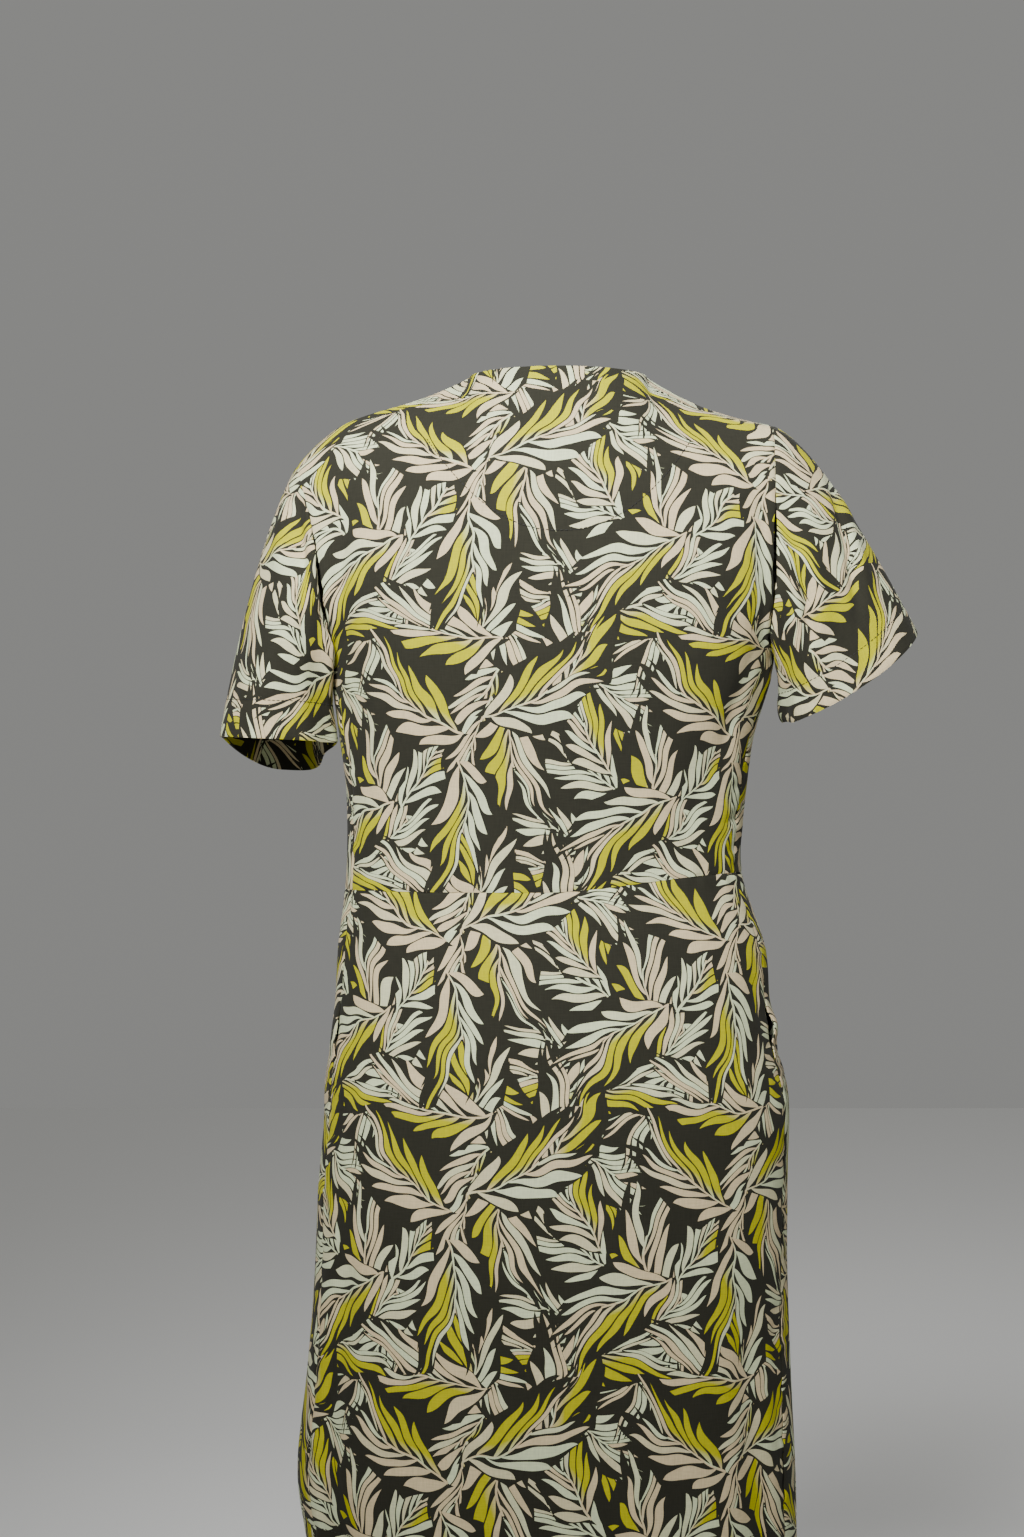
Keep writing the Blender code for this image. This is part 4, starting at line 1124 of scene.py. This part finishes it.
def add_layer(net, cloth, under, layer, settings):
    """Print one layer of sprays over the layers under it."""
    quarter = (REPEAT[0] / 2.0, REPEAT[1] / 2.0, 1.0)
    cells = net.vector("DIVIDE", net.vector("ADD", cloth, (*layer.shift, 0.0)), quarter)
    # every other row slides along, so that sprays don't stand in columns
    odd = net.math("MODULO", net.math("ADD", net.math("FLOOR", net.split(cells)[1]), ROWS_BELOW), 2.0)
    cells = net.vector("MULTIPLY_ADD", net.join(odd, 0.0, 0.0), (layer.slide, 0.0, 0.0), cells)
    cell = net.split(net.vector("WRAP", net.vector("FLOOR", cells), (2.0, 2.0, 1.0), (0.0, 0.0, 0.0)))
    inside = net.vector("SUBTRACT", net.vector("FRACTION", cells), (0.5, 0.5, 0.0))
    inside = net.vector("MULTIPLY", inside, quarter)
    rows = layer.sprays
    where = chosen(net, cell, [(row.x, row.y, -math.radians(row.turn)) for row in rows])
    bend, size, leaflets = net.split(chosen(net, cell, [(row.bend, row.size, row.leaflets) for row in rows]))
    forward, curl, pale = net.split(chosen(net, cell, [(row.lean, row.curl, row.pale) for row in rows]))
    bright, span = net.split(chosen(net, cell, [(row.yellow, row.span, 0.0) for row in rows]))[:2]
    turned = net.node("ShaderNodeVectorRotate", rotation_type="Z_AXIS")
    net.feed(turned.inputs["Vector"], net.vector("SUBTRACT", inside, where))
    net.feed(turned.inputs["Angle"], net.split(where)[2])
    place = net.split(turned.outputs[0])
    # along the stem and out to its side, in spray sizes, with the stem's bend taken away
    along = net.math("ADD", net.math("DIVIDE", place[0], size), STEM_START)
    sag = net.math("MULTIPLY", net.math("MULTIPLY_ADD", along, along, -STEM_ROUND), bend)
    beside = net.math("SUBTRACT", net.math("DIVIDE", place[1], size), sag)
    out = net.math("ABSOLUTE", beside)
    side = net.math("GREATER_THAN", beside, 0.0)
    # where on the stem the leaflet over this point starts
    lean = net.math("MULTIPLY_ADD", out, curl, forward)
    root = net.math("SUBTRACT", along, net.math("MULTIPLY", lean, out))
    root = net.math("DIVIDE", root, net.math("MULTIPLY_ADD", out, SPRAY_FAN, 1.0))
    count = net.math("MULTIPLY_ADD", root, leaflets, net.math("MULTIPLY", side, LEAF_STAGGER))
    number = net.math("FLOOR", count)
    edge = net.math("PINGPONG", count, 0.5)
    seat = net.math("DIVIDE", number, leaflets)
    chance = net.node("ShaderNodeTexWhiteNoise", noise_dimensions="3D")
    across = net.math("MULTIPLY_ADD", cell[0], 3.0, side)
    up = net.math("MULTIPLY_ADD", cell[1], 5.0, layer.seed)
    net.feed(chance.inputs["Vector"], net.join(number, across, up))
    own = net.split(chance.outputs["Color"])
    # how far out that leaflet reaches, and how wide it is here
    off = net.math("SUBTRACT", seat, LEAF_BEST)
    longest = net.math("MULTIPLY_ADD", net.math("MULTIPLY", off, off), -LEAF_FALL, LEAF_REACH)
    length = net.math("MULTIPLY", longest, net.math("MULTIPLY_ADD", own[0], LEAF_LONG[1], LEAF_LONG[0]))
    share = net.math("DIVIDE", out, net.math("MAXIMUM", length, 0.001))
    there = net.math("COMPARE", seat, *LEAF_SPAN)
    rise = net.math("POWER", share, LEAF_FOOT)
    fall = net.math("POWER", net.math("MAXIMUM", net.math("SUBTRACT", LEAF_END, share), 0.0), LEAF_TIP)
    width = net.math("MULTIPLY", net.math("MULTIPLY", rise, fall), there)
    width = net.math("MULTIPLY", width, net.math("MULTIPLY_ADD", own[1], LEAF_WIDE[1], LEAF_WIDE[0]))
    leaf = net.math("GREATER_THAN", net.math("ADD", edge, width), LEAF_EDGE)
    stem = net.math("LESS_THAN", net.math("MULTIPLY", out, size), STEM_WIDE)
    stem = net.math("MULTIPLY", stem, net.math("COMPARE", along, *STEM_SPAN))
    # between its leaflets a spray covers what lies under it with the ground's colour
    near = net.math("LESS_THAN", net.math("MULTIPLY", out, CLEAR_REACH), longest)
    clear = net.math("MULTIPLY", there, near)
    leaf = net.math("MAXIMUM", leaf, stem)
    clear = net.math("MAXIMUM", clear, leaf)
    signed = net.math("MULTIPLY", net.math("ADD", seat, 0.1), net.math("MULTIPLY_ADD", side, 2.0, -1.0))
    yellow = net.math("COMPARE", signed, bright, span)
    yellow = net.math("MULTIPLY", yellow, net.math("GREATER_THAN", span, YELLOW_LEAST))
    foot = net.math("MINIMUM", net.math("MULTIPLY", share, YELLOW_START), 1.0)
    yellow = net.math("MULTIPLY", yellow, foot)
    tone = net.math("MULTIPLY_ADD", net.math("ADD", own[2], pale), TONE_STEEP, TONE_START)
    tone = net.math("MINIMUM", net.math("MAXIMUM", tone, 0.0), 1.0)
    colour = net.mix(tone, (*settings.pink, 1.0), (*settings.mint, 1.0))
    colour = net.mix(yellow, colour, (*settings.yellow, 1.0))
    under = net.mix(clear, under, (*settings.ground, 1.0))
    return net.mix(leaf, under, colour)


def print_group(settings):
    """The whole leaf print, read at a place in metres of flat cloth."""
    group, net, given, result = new_group("Leaf print", (("Cloth", "Vector"),), (("Colour", "Color"),))
    drift = net.vector("SUBTRACT", net.noise(given["Cloth"], PRINT_WAVE, 0.0)["Color"], (0.5, 0.5, 0.5))
    cloth = net.vector("MULTIPLY_ADD", drift, (PRINT_DRIFT, PRINT_DRIFT, 0.0), given["Cloth"])
    colour = (*settings.ground, 1.0)
    for layer in LAYERS:
        colour = add_layer(net, cloth, colour, layer, settings)
    net.feed(result["Colour"], colour)
    return group


def woven_material(name, fade, dull, shade):
    """Printed plain weave. fade mixes the print towards dull, and shade darkens the whole as painted shade.
    """
    settings = bpy.context.scene.dress_cloth
    material, net, surface = new_material(name)
    place = net.node("ShaderNodeUVMap", uv_map="cloth").outputs[0]
    group = bpy.data.node_groups.get("Leaf print") or print_group(settings)
    printed = net.node("ShaderNodeGroup", [place], node_tree=group).outputs[0]
    colour = net.mix(fade, printed, (*dull, 1.0))
    # threads: fine streaks along the warp and across it, and soft unevenness of the dye
    along, across = (1.0, THREAD_STRETCH, 1.0), (THREAD_STRETCH, 1.0, 1.0)
    warp = net.noise(net.vector("MULTIPLY", place, along), 1.0 / settings.thread, 0.0)[0]
    weft = net.noise(net.vector("MULTIPLY", place, across), 1.0 / settings.thread, 0.0)[0]
    weave = net.math("ADD", warp, weft)
    dye = net.noise(place, DYE_WAVE, 2.0)[0]
    bright = net.math("MULTIPLY_ADD", weave, WEAVE_SHADE, shade - WEAVE_SHADE)
    bright = net.math("MULTIPLY_ADD", dye, DYE_SHADE, net.math("SUBTRACT", bright, DYE_SHADE / 2.0))
    tint = net.node("ShaderNodeVectorMath", {0: colour, "Scale": bright}, operation="SCALE")
    net.feed(surface.inputs["Base Color"], tint.outputs[0])
    bump = net.node("ShaderNodeBump", {"Strength": 0.35, "Distance": 0.00012, "Height": weave})
    net.fill(surface, {
        "Normal": bump.outputs[0], "Roughness": 0.90, "Specular IOR Level": 0.12,
        "Sheen Weight": 0.03, "Sheen Roughness": 0.5,
    })
    return material


def cloth_material():
    """The printed side of the cloth."""
    made = bpy.data.materials.get("printed cloth")
    return made or woven_material("printed cloth", fade=0.0, dull=(0.5, 0.5, 0.5), shade=1.0)


def shaded_wrong_side_material():
    """The unprinted side, where the leaves only show through, darkened with painted shade for the inside of
    the dress.
    """
    made = bpy.data.materials.get("wrong side")
    # the fade to the dark dull colour is partly the unprinted side's own dullness and partly painted shade;
    # shade 0.60 is painted shade
    return made or woven_material("wrong side", fade=0.72, dull=(0.060, 0.056, 0.050), shade=0.60)


def thread_material():
    made = bpy.data.materials.get("sewing thread")
    if made:
        return made
    colour = bpy.context.scene.dress_stitching.colour
    made, net, surface = new_material("sewing thread")
    place = net.node("ShaderNodeTexCoord").outputs["Object"]
    fibre = net.noise(place, FIBRE_WAVE, 1.0, "3D")[0]
    dark = tuple(FIBRE_SHADE * channel for channel in colour)
    net.fill(surface, {"Base Color": net.mix(fibre, (*dark, 1.0), (*colour, 1.0)), "Roughness": 0.7})
    return made


# ---- Settings ------------------------------------------------------------------------------------
def length_setting(name, description, default, precision=4):
    return bpy.props.FloatProperty(
        name=name, description=description, default=default, unit="LENGTH", precision=precision
    )


def colour_setting(name, description, default):
    return bpy.props.FloatVectorProperty(
        name=name, description=description, default=default, subtype="COLOR"
    )


class ClothSettings(bpy.types.PropertyGroup):
    wall: length_setting("Wall", "Thickness of the cloth", 0.0009)
    thread: length_setting("Thread", "Spacing of the threads of the weave", 0.0011)
    ground: colour_setting("Ground", "Colour between the leaves", (0.025, 0.0245, 0.017))
    pink: colour_setting("Pink", "Warm pale leaves", (0.625, 0.510, 0.305))
    mint: colour_setting("Mint", "Cool pale leaves", (0.605, 0.665, 0.425))
    yellow: colour_setting("Yellow", "Bright leaves", (0.450, 0.430, 0.005))


class StitchSettings(bpy.types.PropertyGroup):
    pitch: length_setting("Pitch", "From one stitch to the next", 0.0036)
    length: length_setting("Length", "Length of one stitch", 0.0028)
    # 0.8 mm is thicker than the real thread, 0.3 to 0.5 mm: the dark thread also covers the shade of the
    # needle dimples round it, as painted shade
    thickness: length_setting("Thickness", "Thickness of the thread", 0.00080, 5)
    colour: colour_setting("Colour", "Colour of the thread", (0.014, 0.013, 0.012))


class StageSettings(bpy.types.PropertyGroup):
    distance: length_setting("Distance", "From the camera to the back of the dress", 2.30, 2)
    lens: bpy.props.FloatProperty(name="Lens", description="Focal length in millimetres", default=71.1)
    power: bpy.props.FloatProperty(
        name="Main light", description="Power of the main light in watts", default=12.2
    )
    floor: colour_setting("Floor", "Colour of the floor", (0.78, 0.78, 0.77))


# ---- Operators -----------------------------------------------------------------------------------
def make_panel(name, grid, seams):
    """One panel of the dress. seams names the borders that are sewn: left, right, low or high."""
    flip = name.startswith("front")
    wall = bpy.context.scene.dress_cloth.wall
    grid = eased(grid)
    over, up = panel_cloth(grid)
    if name.endswith("bodice"):
        cloth_v = up + (grid[0, :, 2] - WAIST)[None, :]
    else:
        cloth_v = up - up[-1:, :] + (grid[-1, :, 2] - WAIST)[None, :]
    borders = {
        "left": over - over[:, :1], "right": over[:, -1:] - over, "low": up, "high": up[-1:, :] - up,
    }
    push = crease_push(over, cloth_v, CREASES[name])
    for number, (edge, distance) in enumerate(borders.items()):
        seamed = edge in seams
        along = cloth_v if edge in ("left", "right") else over
        push += dip_push(distance, SEAM_LINE if seamed else OPEN_EDGE)
        if seamed:
            push += pucker_push(along, distance, seed=2.0 + number)
        if edge in ("left", "right"):
            push += ripple_push(distance, cloth_v, RIPPLES[name], edge)
    if name == "front_bodice":
        push += crease_push(over, cloth_v, DARTS)
    if name == "back_bodice":
        share = np.abs(grid[..., 0] - NECK_X) / HALF_MOON_WIDTH
        below = grid[..., 2] - half_moon_height(grid[..., 0])
        push += dip_push(below, HALF_MOON_ROW) * (share < 1.0)
    thickness = np.full(grid.shape[:2], wall)
    if name.endswith("skirt"):
        thickness += hem_extra(up, HEM_DEPTH)
        push += dip_push(up - HEM_DEPTH, SKIRT_HEM_ROW)
    else:
        thickness += NECK_EXTRA * np.clip(1.0 - borders["high"] / NECK_DEPTH, 0.0, 1.0)
    finish_grid(name, grid, flip, push, thickness, over, cloth_v)


class DRESS_OT_bodice(bpy.types.Operator):
    """Make the back and the front of the bodice"""

    bl_idname = "dress.bodice"
    bl_label = "Bodice"

    def execute(self, context):
        for face in ("back", "front"):
            make_panel(face + "_bodice", bodice_grid(face), ("left", "right", "low"))
        return {"FINISHED"}


class DRESS_OT_skirt(bpy.types.Operator):
    """Make the back and the front of the skirt"""

    bl_idname = "dress.skirt"
    bl_label = "Skirt"

    def execute(self, context):
        for face in ("back", "front"):
            bodice = face + "_bodice_cloth"
            if bodice not in bpy.data.objects:
                raise RuntimeError("make the bodice before the skirt")
            make_panel(face + "_skirt", skirt_grid(face), ("left", "right", "high"))
        return {"FINISHED"}


class DRESS_OT_sleeves(bpy.types.Operator):
    """Make the two short sleeves"""

    bl_idname = "dress.sleeves"
    bl_label = "Sleeves"

    def execute(self, context):
        for side in SIDES:
            self.make_sleeve(context, side)
        return {"FINISHED"}

    def make_sleeve(self, context, side):
        name = "sleeve_" + side.name
        grid = sleeve_grid(side)
        over, cloth_v, down = sleeve_cloth(side, grid)
        around, along = over[:, :-1], cloth_v[:, :-1]
        from_hem = down[-1:] - down
        from_seam = np.minimum(over - over[:, -1:], over[:, :1] - over)[:, :-1]
        depth = SLEEVE_HEM[side.name]
        push = crease_push(around, along, CREASES[name])
        push += dip_push(down, SEAM_LINE) + pucker_push(around, down, seed=5.0)
        push += dip_push(from_hem, OPEN_EDGE)
        push += dip_push(from_hem - depth, SLEEVE_HEM_ROW)
        push += pucker_push(around, np.abs(from_hem - depth), seed=9.0, pucker=HEM_PUCKER)
        push += dip_push(from_seam, SLEEVE_SEAM)
        thickness = np.full(grid.shape[:2], context.scene.dress_cloth.wall)
        thickness += hem_extra(from_hem, depth)
        flip = side.name == "right"
        finish_grid(name, grid, flip, push, thickness, over, cloth_v, closed=True)
        FROM_HEM[name] = from_hem


class DRESS_OT_pockets(bpy.types.Operator):
    """Make the two pocket bags that hang from the side seams"""

    bl_idname = "dress.pockets"
    bl_label = "Pockets"

    def execute(self, context):
        for side in SIDES:
            self.make_bag(context, side)
        return {"FINISHED"}

    def surface(self, side, place, height):
        """A point on the front skirt and its outward direction there."""
        def at(across, level):
            fade = 1.0 - smoothstep((1.0 - abs(across)) / LIP_FADE)
            base = skirt_point("front", across, level)
            section = section_at(level)
            out = (base - Vector((section.shift, 0.0, base.z))).normalized()
            return base + out * lip_stand(side.name, level) * fade

        across = side.sign * place
        over = at(across + BAG_STEP[0], height) - at(across - BAG_STEP[0], height)
        up = at(across, height + BAG_STEP[1]) - at(across, height - BAG_STEP[1])
        return at(across, height), -over.cross(up).normalized()

    def bag_point(self, side, place, corner, trim, skirt_wall):
        """A point of a bag. The corners go down its inner layer and up its outer one, and trim
        moves the point into the bag's wall."""
        reach = (BAG_START - place) / (BAG_START - BAG_END)
        spread = smoothstep(reach / BAG_SPREAD)
        late = max(reach - BAG_ROUND, 0.0) / (1.0 - BAG_ROUND)
        narrow = math.sqrt(max(1.0 - late**BAG_ROUND_POWER, 0.0))
        top = POCKET_TOP - BAG_EASE - BAG_FALL * spread
        foot = POCKET_FOOT + BAG_EASE - (BAG_DROP + BAG_EASE) * spread
        middle = (top + foot) / 2.0 - BAG_FALL * spread
        half_height = max((top - foot) / 2.0 * mix(BAG_TIP[0], 1.0, narrow) - trim, 0.001)
        layer_corners = BAG_CORNERS // 2
        drop = (2 * (corner % layer_corners) + 1) / layer_corners - 1.0
        layer = 1.0 if corner < layer_corners else -1.0
        height = middle - layer * drop * half_height
        point, outward = self.surface(side, place, height)
        hollow = mix(lip_stand(side.name, height), BAG_HOLLOW, smoothstep(reach / BAG_MOUTH))
        hollow *= mix(BAG_TIP[1], 1.0, narrow)
        slack = BAG_SLACK * smoothstep(reach / SLACK_GROWS)
        slack *= smoothstep((SLACK_FADES[0] - reach) / SLACK_FADES[1])
        near = skirt_wall + BAG_GAP + slack
        far = near + 2.0 * BAG_WALL + max(hollow, BAG_WALL)
        half = max((far - near) / 2.0 * (1.0 - drop**4) ** 0.25 - trim, BAG_WALL / 3.0)
        sag = BAG_SAG * math.sin(height * SAG_WAVES[0] + reach * SAG_WAVES[1])
        sag *= smoothstep(reach / SAG_GROWS) * (layer > 0.0)
        return point - outward * ((near + far) / 2.0 + layer * half + sag)

    def make_bag(self, context, side):
        name = "pocket_" + side.name
        skirt_wall = context.scene.dress_cloth.wall
        places = [mix(BAG_START, BAG_END, (i / (BAG_RINGS - 1)) ** 1.1) for i in range(BAG_RINGS)]
        turns = range(BAG_CORNERS)

        def layer(trim):
            """All rings of the bag's outer face (trim 0) or its inner face."""
            rings = [[self.bag_point(side, place, c, trim, skirt_wall) for c in turns] for place in places]
            return eased(np.array(rings))

        outer, inner = layer(0.0), layer(BAG_WALL)
        inner[-1] = mix(outer[-1], inner[-2], 0.3)
        count = BAG_RINGS * BAG_CORNERS
        points = np.concatenate([outer.reshape(-1, 3), inner.reshape(-1, 3)])
        faces = []
        for offset, turned in ((0, False), (count, True)):
            for start in range(0, count - BAG_CORNERS, BAG_CORNERS):
                for c in turns:
                    d = (c + 1) % BAG_CORNERS
                    quad = [start + c, start + d, start + BAG_CORNERS + d, start + BAG_CORNERS + c]
                    faces.append([offset + i for i in (reversed(quad) if turned else quad)])
            # the far end is closed by a strip of faces between the two layers
            base = count - BAG_CORNERS
            for c in range(BAG_CORNERS // 2 - 1):
                quad = [base + c, base + c + 1, count - 2 - c, count - 1 - c]
                faces.append([offset + i for i in (reversed(quad) if turned else quad)])
        for c in turns:
            d = (c + 1) % BAG_CORNERS
            faces.append([count + c, count + d, d, c])
        mesh = bpy.data.meshes.new(name + "_cloth")
        mesh.from_pydata(points.tolist(), [], faces)
        index = np.empty(len(mesh.loops), np.int32)
        mesh.loops.foreach_get("vertex_index", index)
        x, y, z = points[index].T
        lay_out(mesh, name, np.abs(y) + x, z)
        mesh.shade_smooth()
        made = placed(name + "_cloth", mesh)
        turn_outwards(mesh)
        mesh.materials.append(cloth_material())
        area = sum(polygon.area for polygon in mesh.polygons) / 2.0
        width = 2.0 * layer_width(outer)
        length = float(outer[..., 2].max() - outer[..., 2].min())
        area = min(area, width * length)
        finish_cloth(made, name)


def layer_width(rings):
    """How wide one layer of a bag is, from its mouth to its far end."""
    line = rings[:, rings.shape[1] // 4]
    return float(np.linalg.norm(np.diff(line, axis=0), axis=1).sum())


def turn_outwards(mesh):
    """Turn every face of a mesh outwards."""
    work = bmesh.new()
    work.from_mesh(mesh)
    bmesh.ops.recalc_face_normals(work, faces=work.faces)
    work.to_mesh(mesh)
    work.free()


def level_line(grid, height_at):
    """Where each column of a panel's grid crosses a height that depends on x."""
    line = []
    for column in np.swapaxes(grid, 0, 1):
        gap = column[:, 2] - height_at(column[:, 0])
        crossing = np.where((gap[:-1] <= 0.0) & (gap[1:] > 0.0))[0]
        if len(crossing):
            row = crossing[-1]
            share = -gap[row] / (gap[row + 1] - gap[row])
            line.append(mix(column[row], column[row + 1], share))
    return np.array(line)


def ring_line(grid, from_hem, depth):
    """The ring round a sleeve that lies a given depth above its hem."""
    line = []
    for column, left in zip(np.swapaxes(grid, 0, 1), from_hem.T):
        row = int(np.where(left > depth)[0][-1])
        share = (left[row] - depth) / (left[row] - left[row + 1])
        line.append(mix(column[row], column[row + 1], share))
    return np.array(line + line[:1])


def stitch_tree():
    """Stitches along the edges of a guide: pitch, length, thickness and material are inputs."""
    inputs = [("Geometry", "Geometry")]
    inputs += [(label, "Float") for label in ("Pitch", "Length", "Thickness")]
    inputs += [("Thread", "Material")]
    tree, net, given, result = new_group("Stitch row", inputs, inputs[:1], "GeometryNodeTree")
    curve = net.node("GeometryNodeMeshToCurve", {"Mesh": given["Geometry"]})
    run = {"Curve": curve.outputs[0], "Length": given["Pitch"]}
    points = net.node("GeometryNodeCurveToPoints", run, mode="LENGTH").outputs
    stitch = net.node("GeometryNodeMeshUVSphere", {"Segments": 6, "Rings": 5, "Radius": 0.5})
    size = net.join(given["Thickness"], given["Thickness"], given["Length"])
    shaped = net.node("GeometryNodeTransform", {"Geometry": stitch.outputs["Mesh"], "Scale": size})
    spread = net.node("GeometryNodeInstanceOnPoints", {
        "Points": points["Points"], "Instance": shaped.outputs[0], "Rotation": points["Rotation"],
    })
    real = net.node("GeometryNodeRealizeInstances", [spread.outputs[0]])
    material = net.node(
        "GeometryNodeSetMaterial", {"Geometry": real.outputs[0], "Material": given["Thread"]}
    )
    net.feed(result[0], material.outputs[0])
    return tree


class DRESS_OT_stitching(bpy.types.Operator):
    """Make the rows of stitches: hem, sleeve hems and the half moon below the back of the neck"""

    bl_idname = "dress.stitching"
    bl_label = "Stitching"

    def execute(self, context):
        if "back_skirt" not in FINISHED:
            raise RuntimeError("make the cloth pieces before the stitches")
        hem = HEM + HEM_DEPTH
        rows = {
            "stitches_back_hem": (level_line(FINISHED["back_skirt"], lambda x: hem), "back_skirt"),
            "stitches_front_hem": (level_line(FINISHED["front_skirt"], lambda x: hem), "front_skirt"),
            "stitches_half_moon": (self.half_moon(), "back_bodice"),
        }
        for side in SIDES:
            name = "sleeve_" + side.name
            ring = ring_line(FINISHED[name], FROM_HEM[name], SLEEVE_HEM[side.name])
            rows["stitches_" + name] = (ring, name)
        sewn = {}
        for name, (line, node) in rows.items():
            made = self.sew(context, name, line)
            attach(made, "root")
            sewn.setdefault(node, []).append(name)
        return {"FINISHED"}

    def half_moon(self):
        line = level_line(FINISHED["back_bodice"], half_moon_height)
        line[:, 1] -= STITCH_PROUD
        return line[np.abs(line[:, 0] - NECK_X) < HALF_MOON_WIDTH - 0.002]

    def sew(self, context, name, line):
        """Set stitches along a line, and keep them as a mesh of their own."""
        settings = context.scene.dress_stitching
        mesh = bpy.data.meshes.new(name + "_guide")
        mesh.from_pydata(line.tolist(), [(i, i + 1) for i in range(len(line) - 1)], [])
        guide = placed(name + "_guide", mesh)
        tree = bpy.data.node_groups.get("Stitch row") or stitch_tree()
        modifier = guide.modifiers.new("Stitches", "NODES")
        modifier.node_group = tree
        values = {
            "Pitch": settings.pitch, "Length": settings.length, "Thickness": settings.thickness,
            "Thread": thread_material(),
        }
        for item in tree.interface.items_tree:
            if item.in_out == "INPUT" and item.name in values:
                modifier[item.identifier] = values[item.name]
        context.view_layer.update()
        depsgraph = context.evaluated_depsgraph_get()
        sewn = bpy.data.meshes.new_from_object(guide.evaluated_get(depsgraph))
        sewn.shade_smooth()
        bpy.data.objects.remove(guide, do_unlink=True)
        return placed(name, sewn)


# ---- Stage ---------------------------------------------------------------------------------------
# share is of the main light's power, and spread is in degrees
Lamp = namedtuple("Lamp", "name place aim share size spread")
LIGHTS = (
    Lamp("main light", (-0.55, -1.98, 1.12), (0.0, 0.0, 0.03), 1.00, 1.0, 46.0),
    Lamp("fill light", (1.8, -2.0, 0.6), (0.0, 0.0, -0.10), 0.08, 1.4, 80.0),
    Lamp("front light", (0.4, 2.6, 0.9), (0.0, 0.0, -0.15), 0.70, 1.6, 80.0),
)
BACK_Y = -0.11           # the back of the dress, from which the camera's distance is measured
CAMERA_X = -0.029
CAMERA_Z = -0.309
FLOOR_Z = -1.25
FLOOR_HALF = 6.0
SKY_LOW = (0.245, 0.245, 0.237, 1.0)
SKY_HIGH = (0.360, 0.360, 0.350, 1.0)


class DRESS_OT_stage(bpy.types.Operator):
    """Make the floor, the lights and the camera"""

    bl_idname = "dress.stage"
    bl_label = "Stage"

    def execute(self, context):
        settings = context.scene.dress_stage
        self.make_floor(settings)
        self.make_world(context)
        for light in LIGHTS:
            self.make_light(light, settings.power)
        camera = bpy.data.cameras.new("camera")
        camera.lens = settings.lens
        camera.sensor_width = 36.0
        holder = placed("camera", camera)
        holder.location = (CAMERA_X, BACK_Y - settings.distance, CAMERA_Z)
        holder.rotation_euler = (math.pi / 2, 0.0, 0.0)
        context.scene.camera = holder
        return {"FINISHED"}

    def make_floor(self, settings):
        """A level floor, wide enough to meet the sky behind the dress."""
        mesh = bpy.data.meshes.new("floor")
        corners = [(x * FLOOR_HALF, y * FLOOR_HALF, FLOOR_Z) for x, y in ((-1, -1), (1, -1), (1, 1), (-1, 1))]
        mesh.from_pydata(corners, [], [(0, 1, 2, 3)])
        floor = placed("floor", mesh)
        material, net, surface = new_material("floor")
        net.fill(surface, {"Base Color": (*settings.floor, 1.0), "Roughness": 0.9})
        mesh.materials.append(material)

    def make_world(self, context):
        """Soft light from all round, stronger overhead, as pale as the floor where the two meet."""
        world = bpy.data.worlds.new("studio")
        world.use_nodes = True
        net = Net(world.node_tree)
        back = world.node_tree.nodes["Background"]
        way = net.split(net.node("ShaderNodeTexCoord").outputs["Generated"])[2]
        height = net.math("MAXIMUM", way, 0.0)
        net.feed(back.inputs["Color"], net.mix(net.math("MULTIPLY", height, height), SKY_LOW, SKY_HIGH))
        back.inputs["Strength"].default_value = 1.0
        context.scene.world = world

    def make_light(self, lamp, power):
        light = bpy.data.lights.new(lamp.name, "AREA")
        light.energy = power * lamp.share
        light.shape = "DISK"
        light.size = lamp.size
        light.spread = math.radians(lamp.spread)
        holder = placed(lamp.name, light)
        holder.location = lamp.place
        aim = Vector(lamp.aim) - Vector(lamp.place)
        holder.rotation_euler = aim.to_track_quat("-Z", "Y").to_euler()


class DRESS_PT_panel(bpy.types.Panel):
    """Lists what makes the dress"""

    bl_label = "Shift dress"
    bl_idname = "DRESS_PT_panel"
    bl_space_type = "VIEW_3D"
    bl_region_type = "UI"
    bl_category = "Dress"

    def draw(self, context):
        layout = self.layout
        for settings in (context.scene.dress_cloth, context.scene.dress_stitching, context.scene.dress_stage):
            box = layout.box()
            for name in settings.__annotations__:
                box.prop(settings, name)
        for operator in OPERATORS:
            layout.operator(operator.bl_idname)


OPERATORS = (
    DRESS_OT_bodice, DRESS_OT_skirt, DRESS_OT_sleeves, DRESS_OT_pockets, DRESS_OT_stitching, DRESS_OT_stage,
)
SETTINGS = (
    ("dress_cloth", ClothSettings), ("dress_stitching", StitchSettings), ("dress_stage", StageSettings),
)


def register():
    for name, settings in SETTINGS:
        bpy.utils.register_class(settings)
        setattr(bpy.types.Scene, name, bpy.props.PointerProperty(type=settings))
    for kind in (*OPERATORS, DRESS_PT_panel):
        bpy.utils.register_class(kind)


def unregister():
    for kind in (DRESS_PT_panel, *reversed(OPERATORS)):
        bpy.utils.unregister_class(kind)
    for name, settings in reversed(SETTINGS):
        delattr(bpy.types.Scene, name)
        bpy.utils.unregister_class(settings)


def main():
    register()
    bpy.ops.dress.bodice()
    bpy.ops.dress.skirt()
    bpy.ops.dress.sleeves()
    bpy.ops.dress.pockets()
    bpy.ops.dress.stitching()
    bpy.ops.dress.stage()


if __name__ == "__main__":
    main()
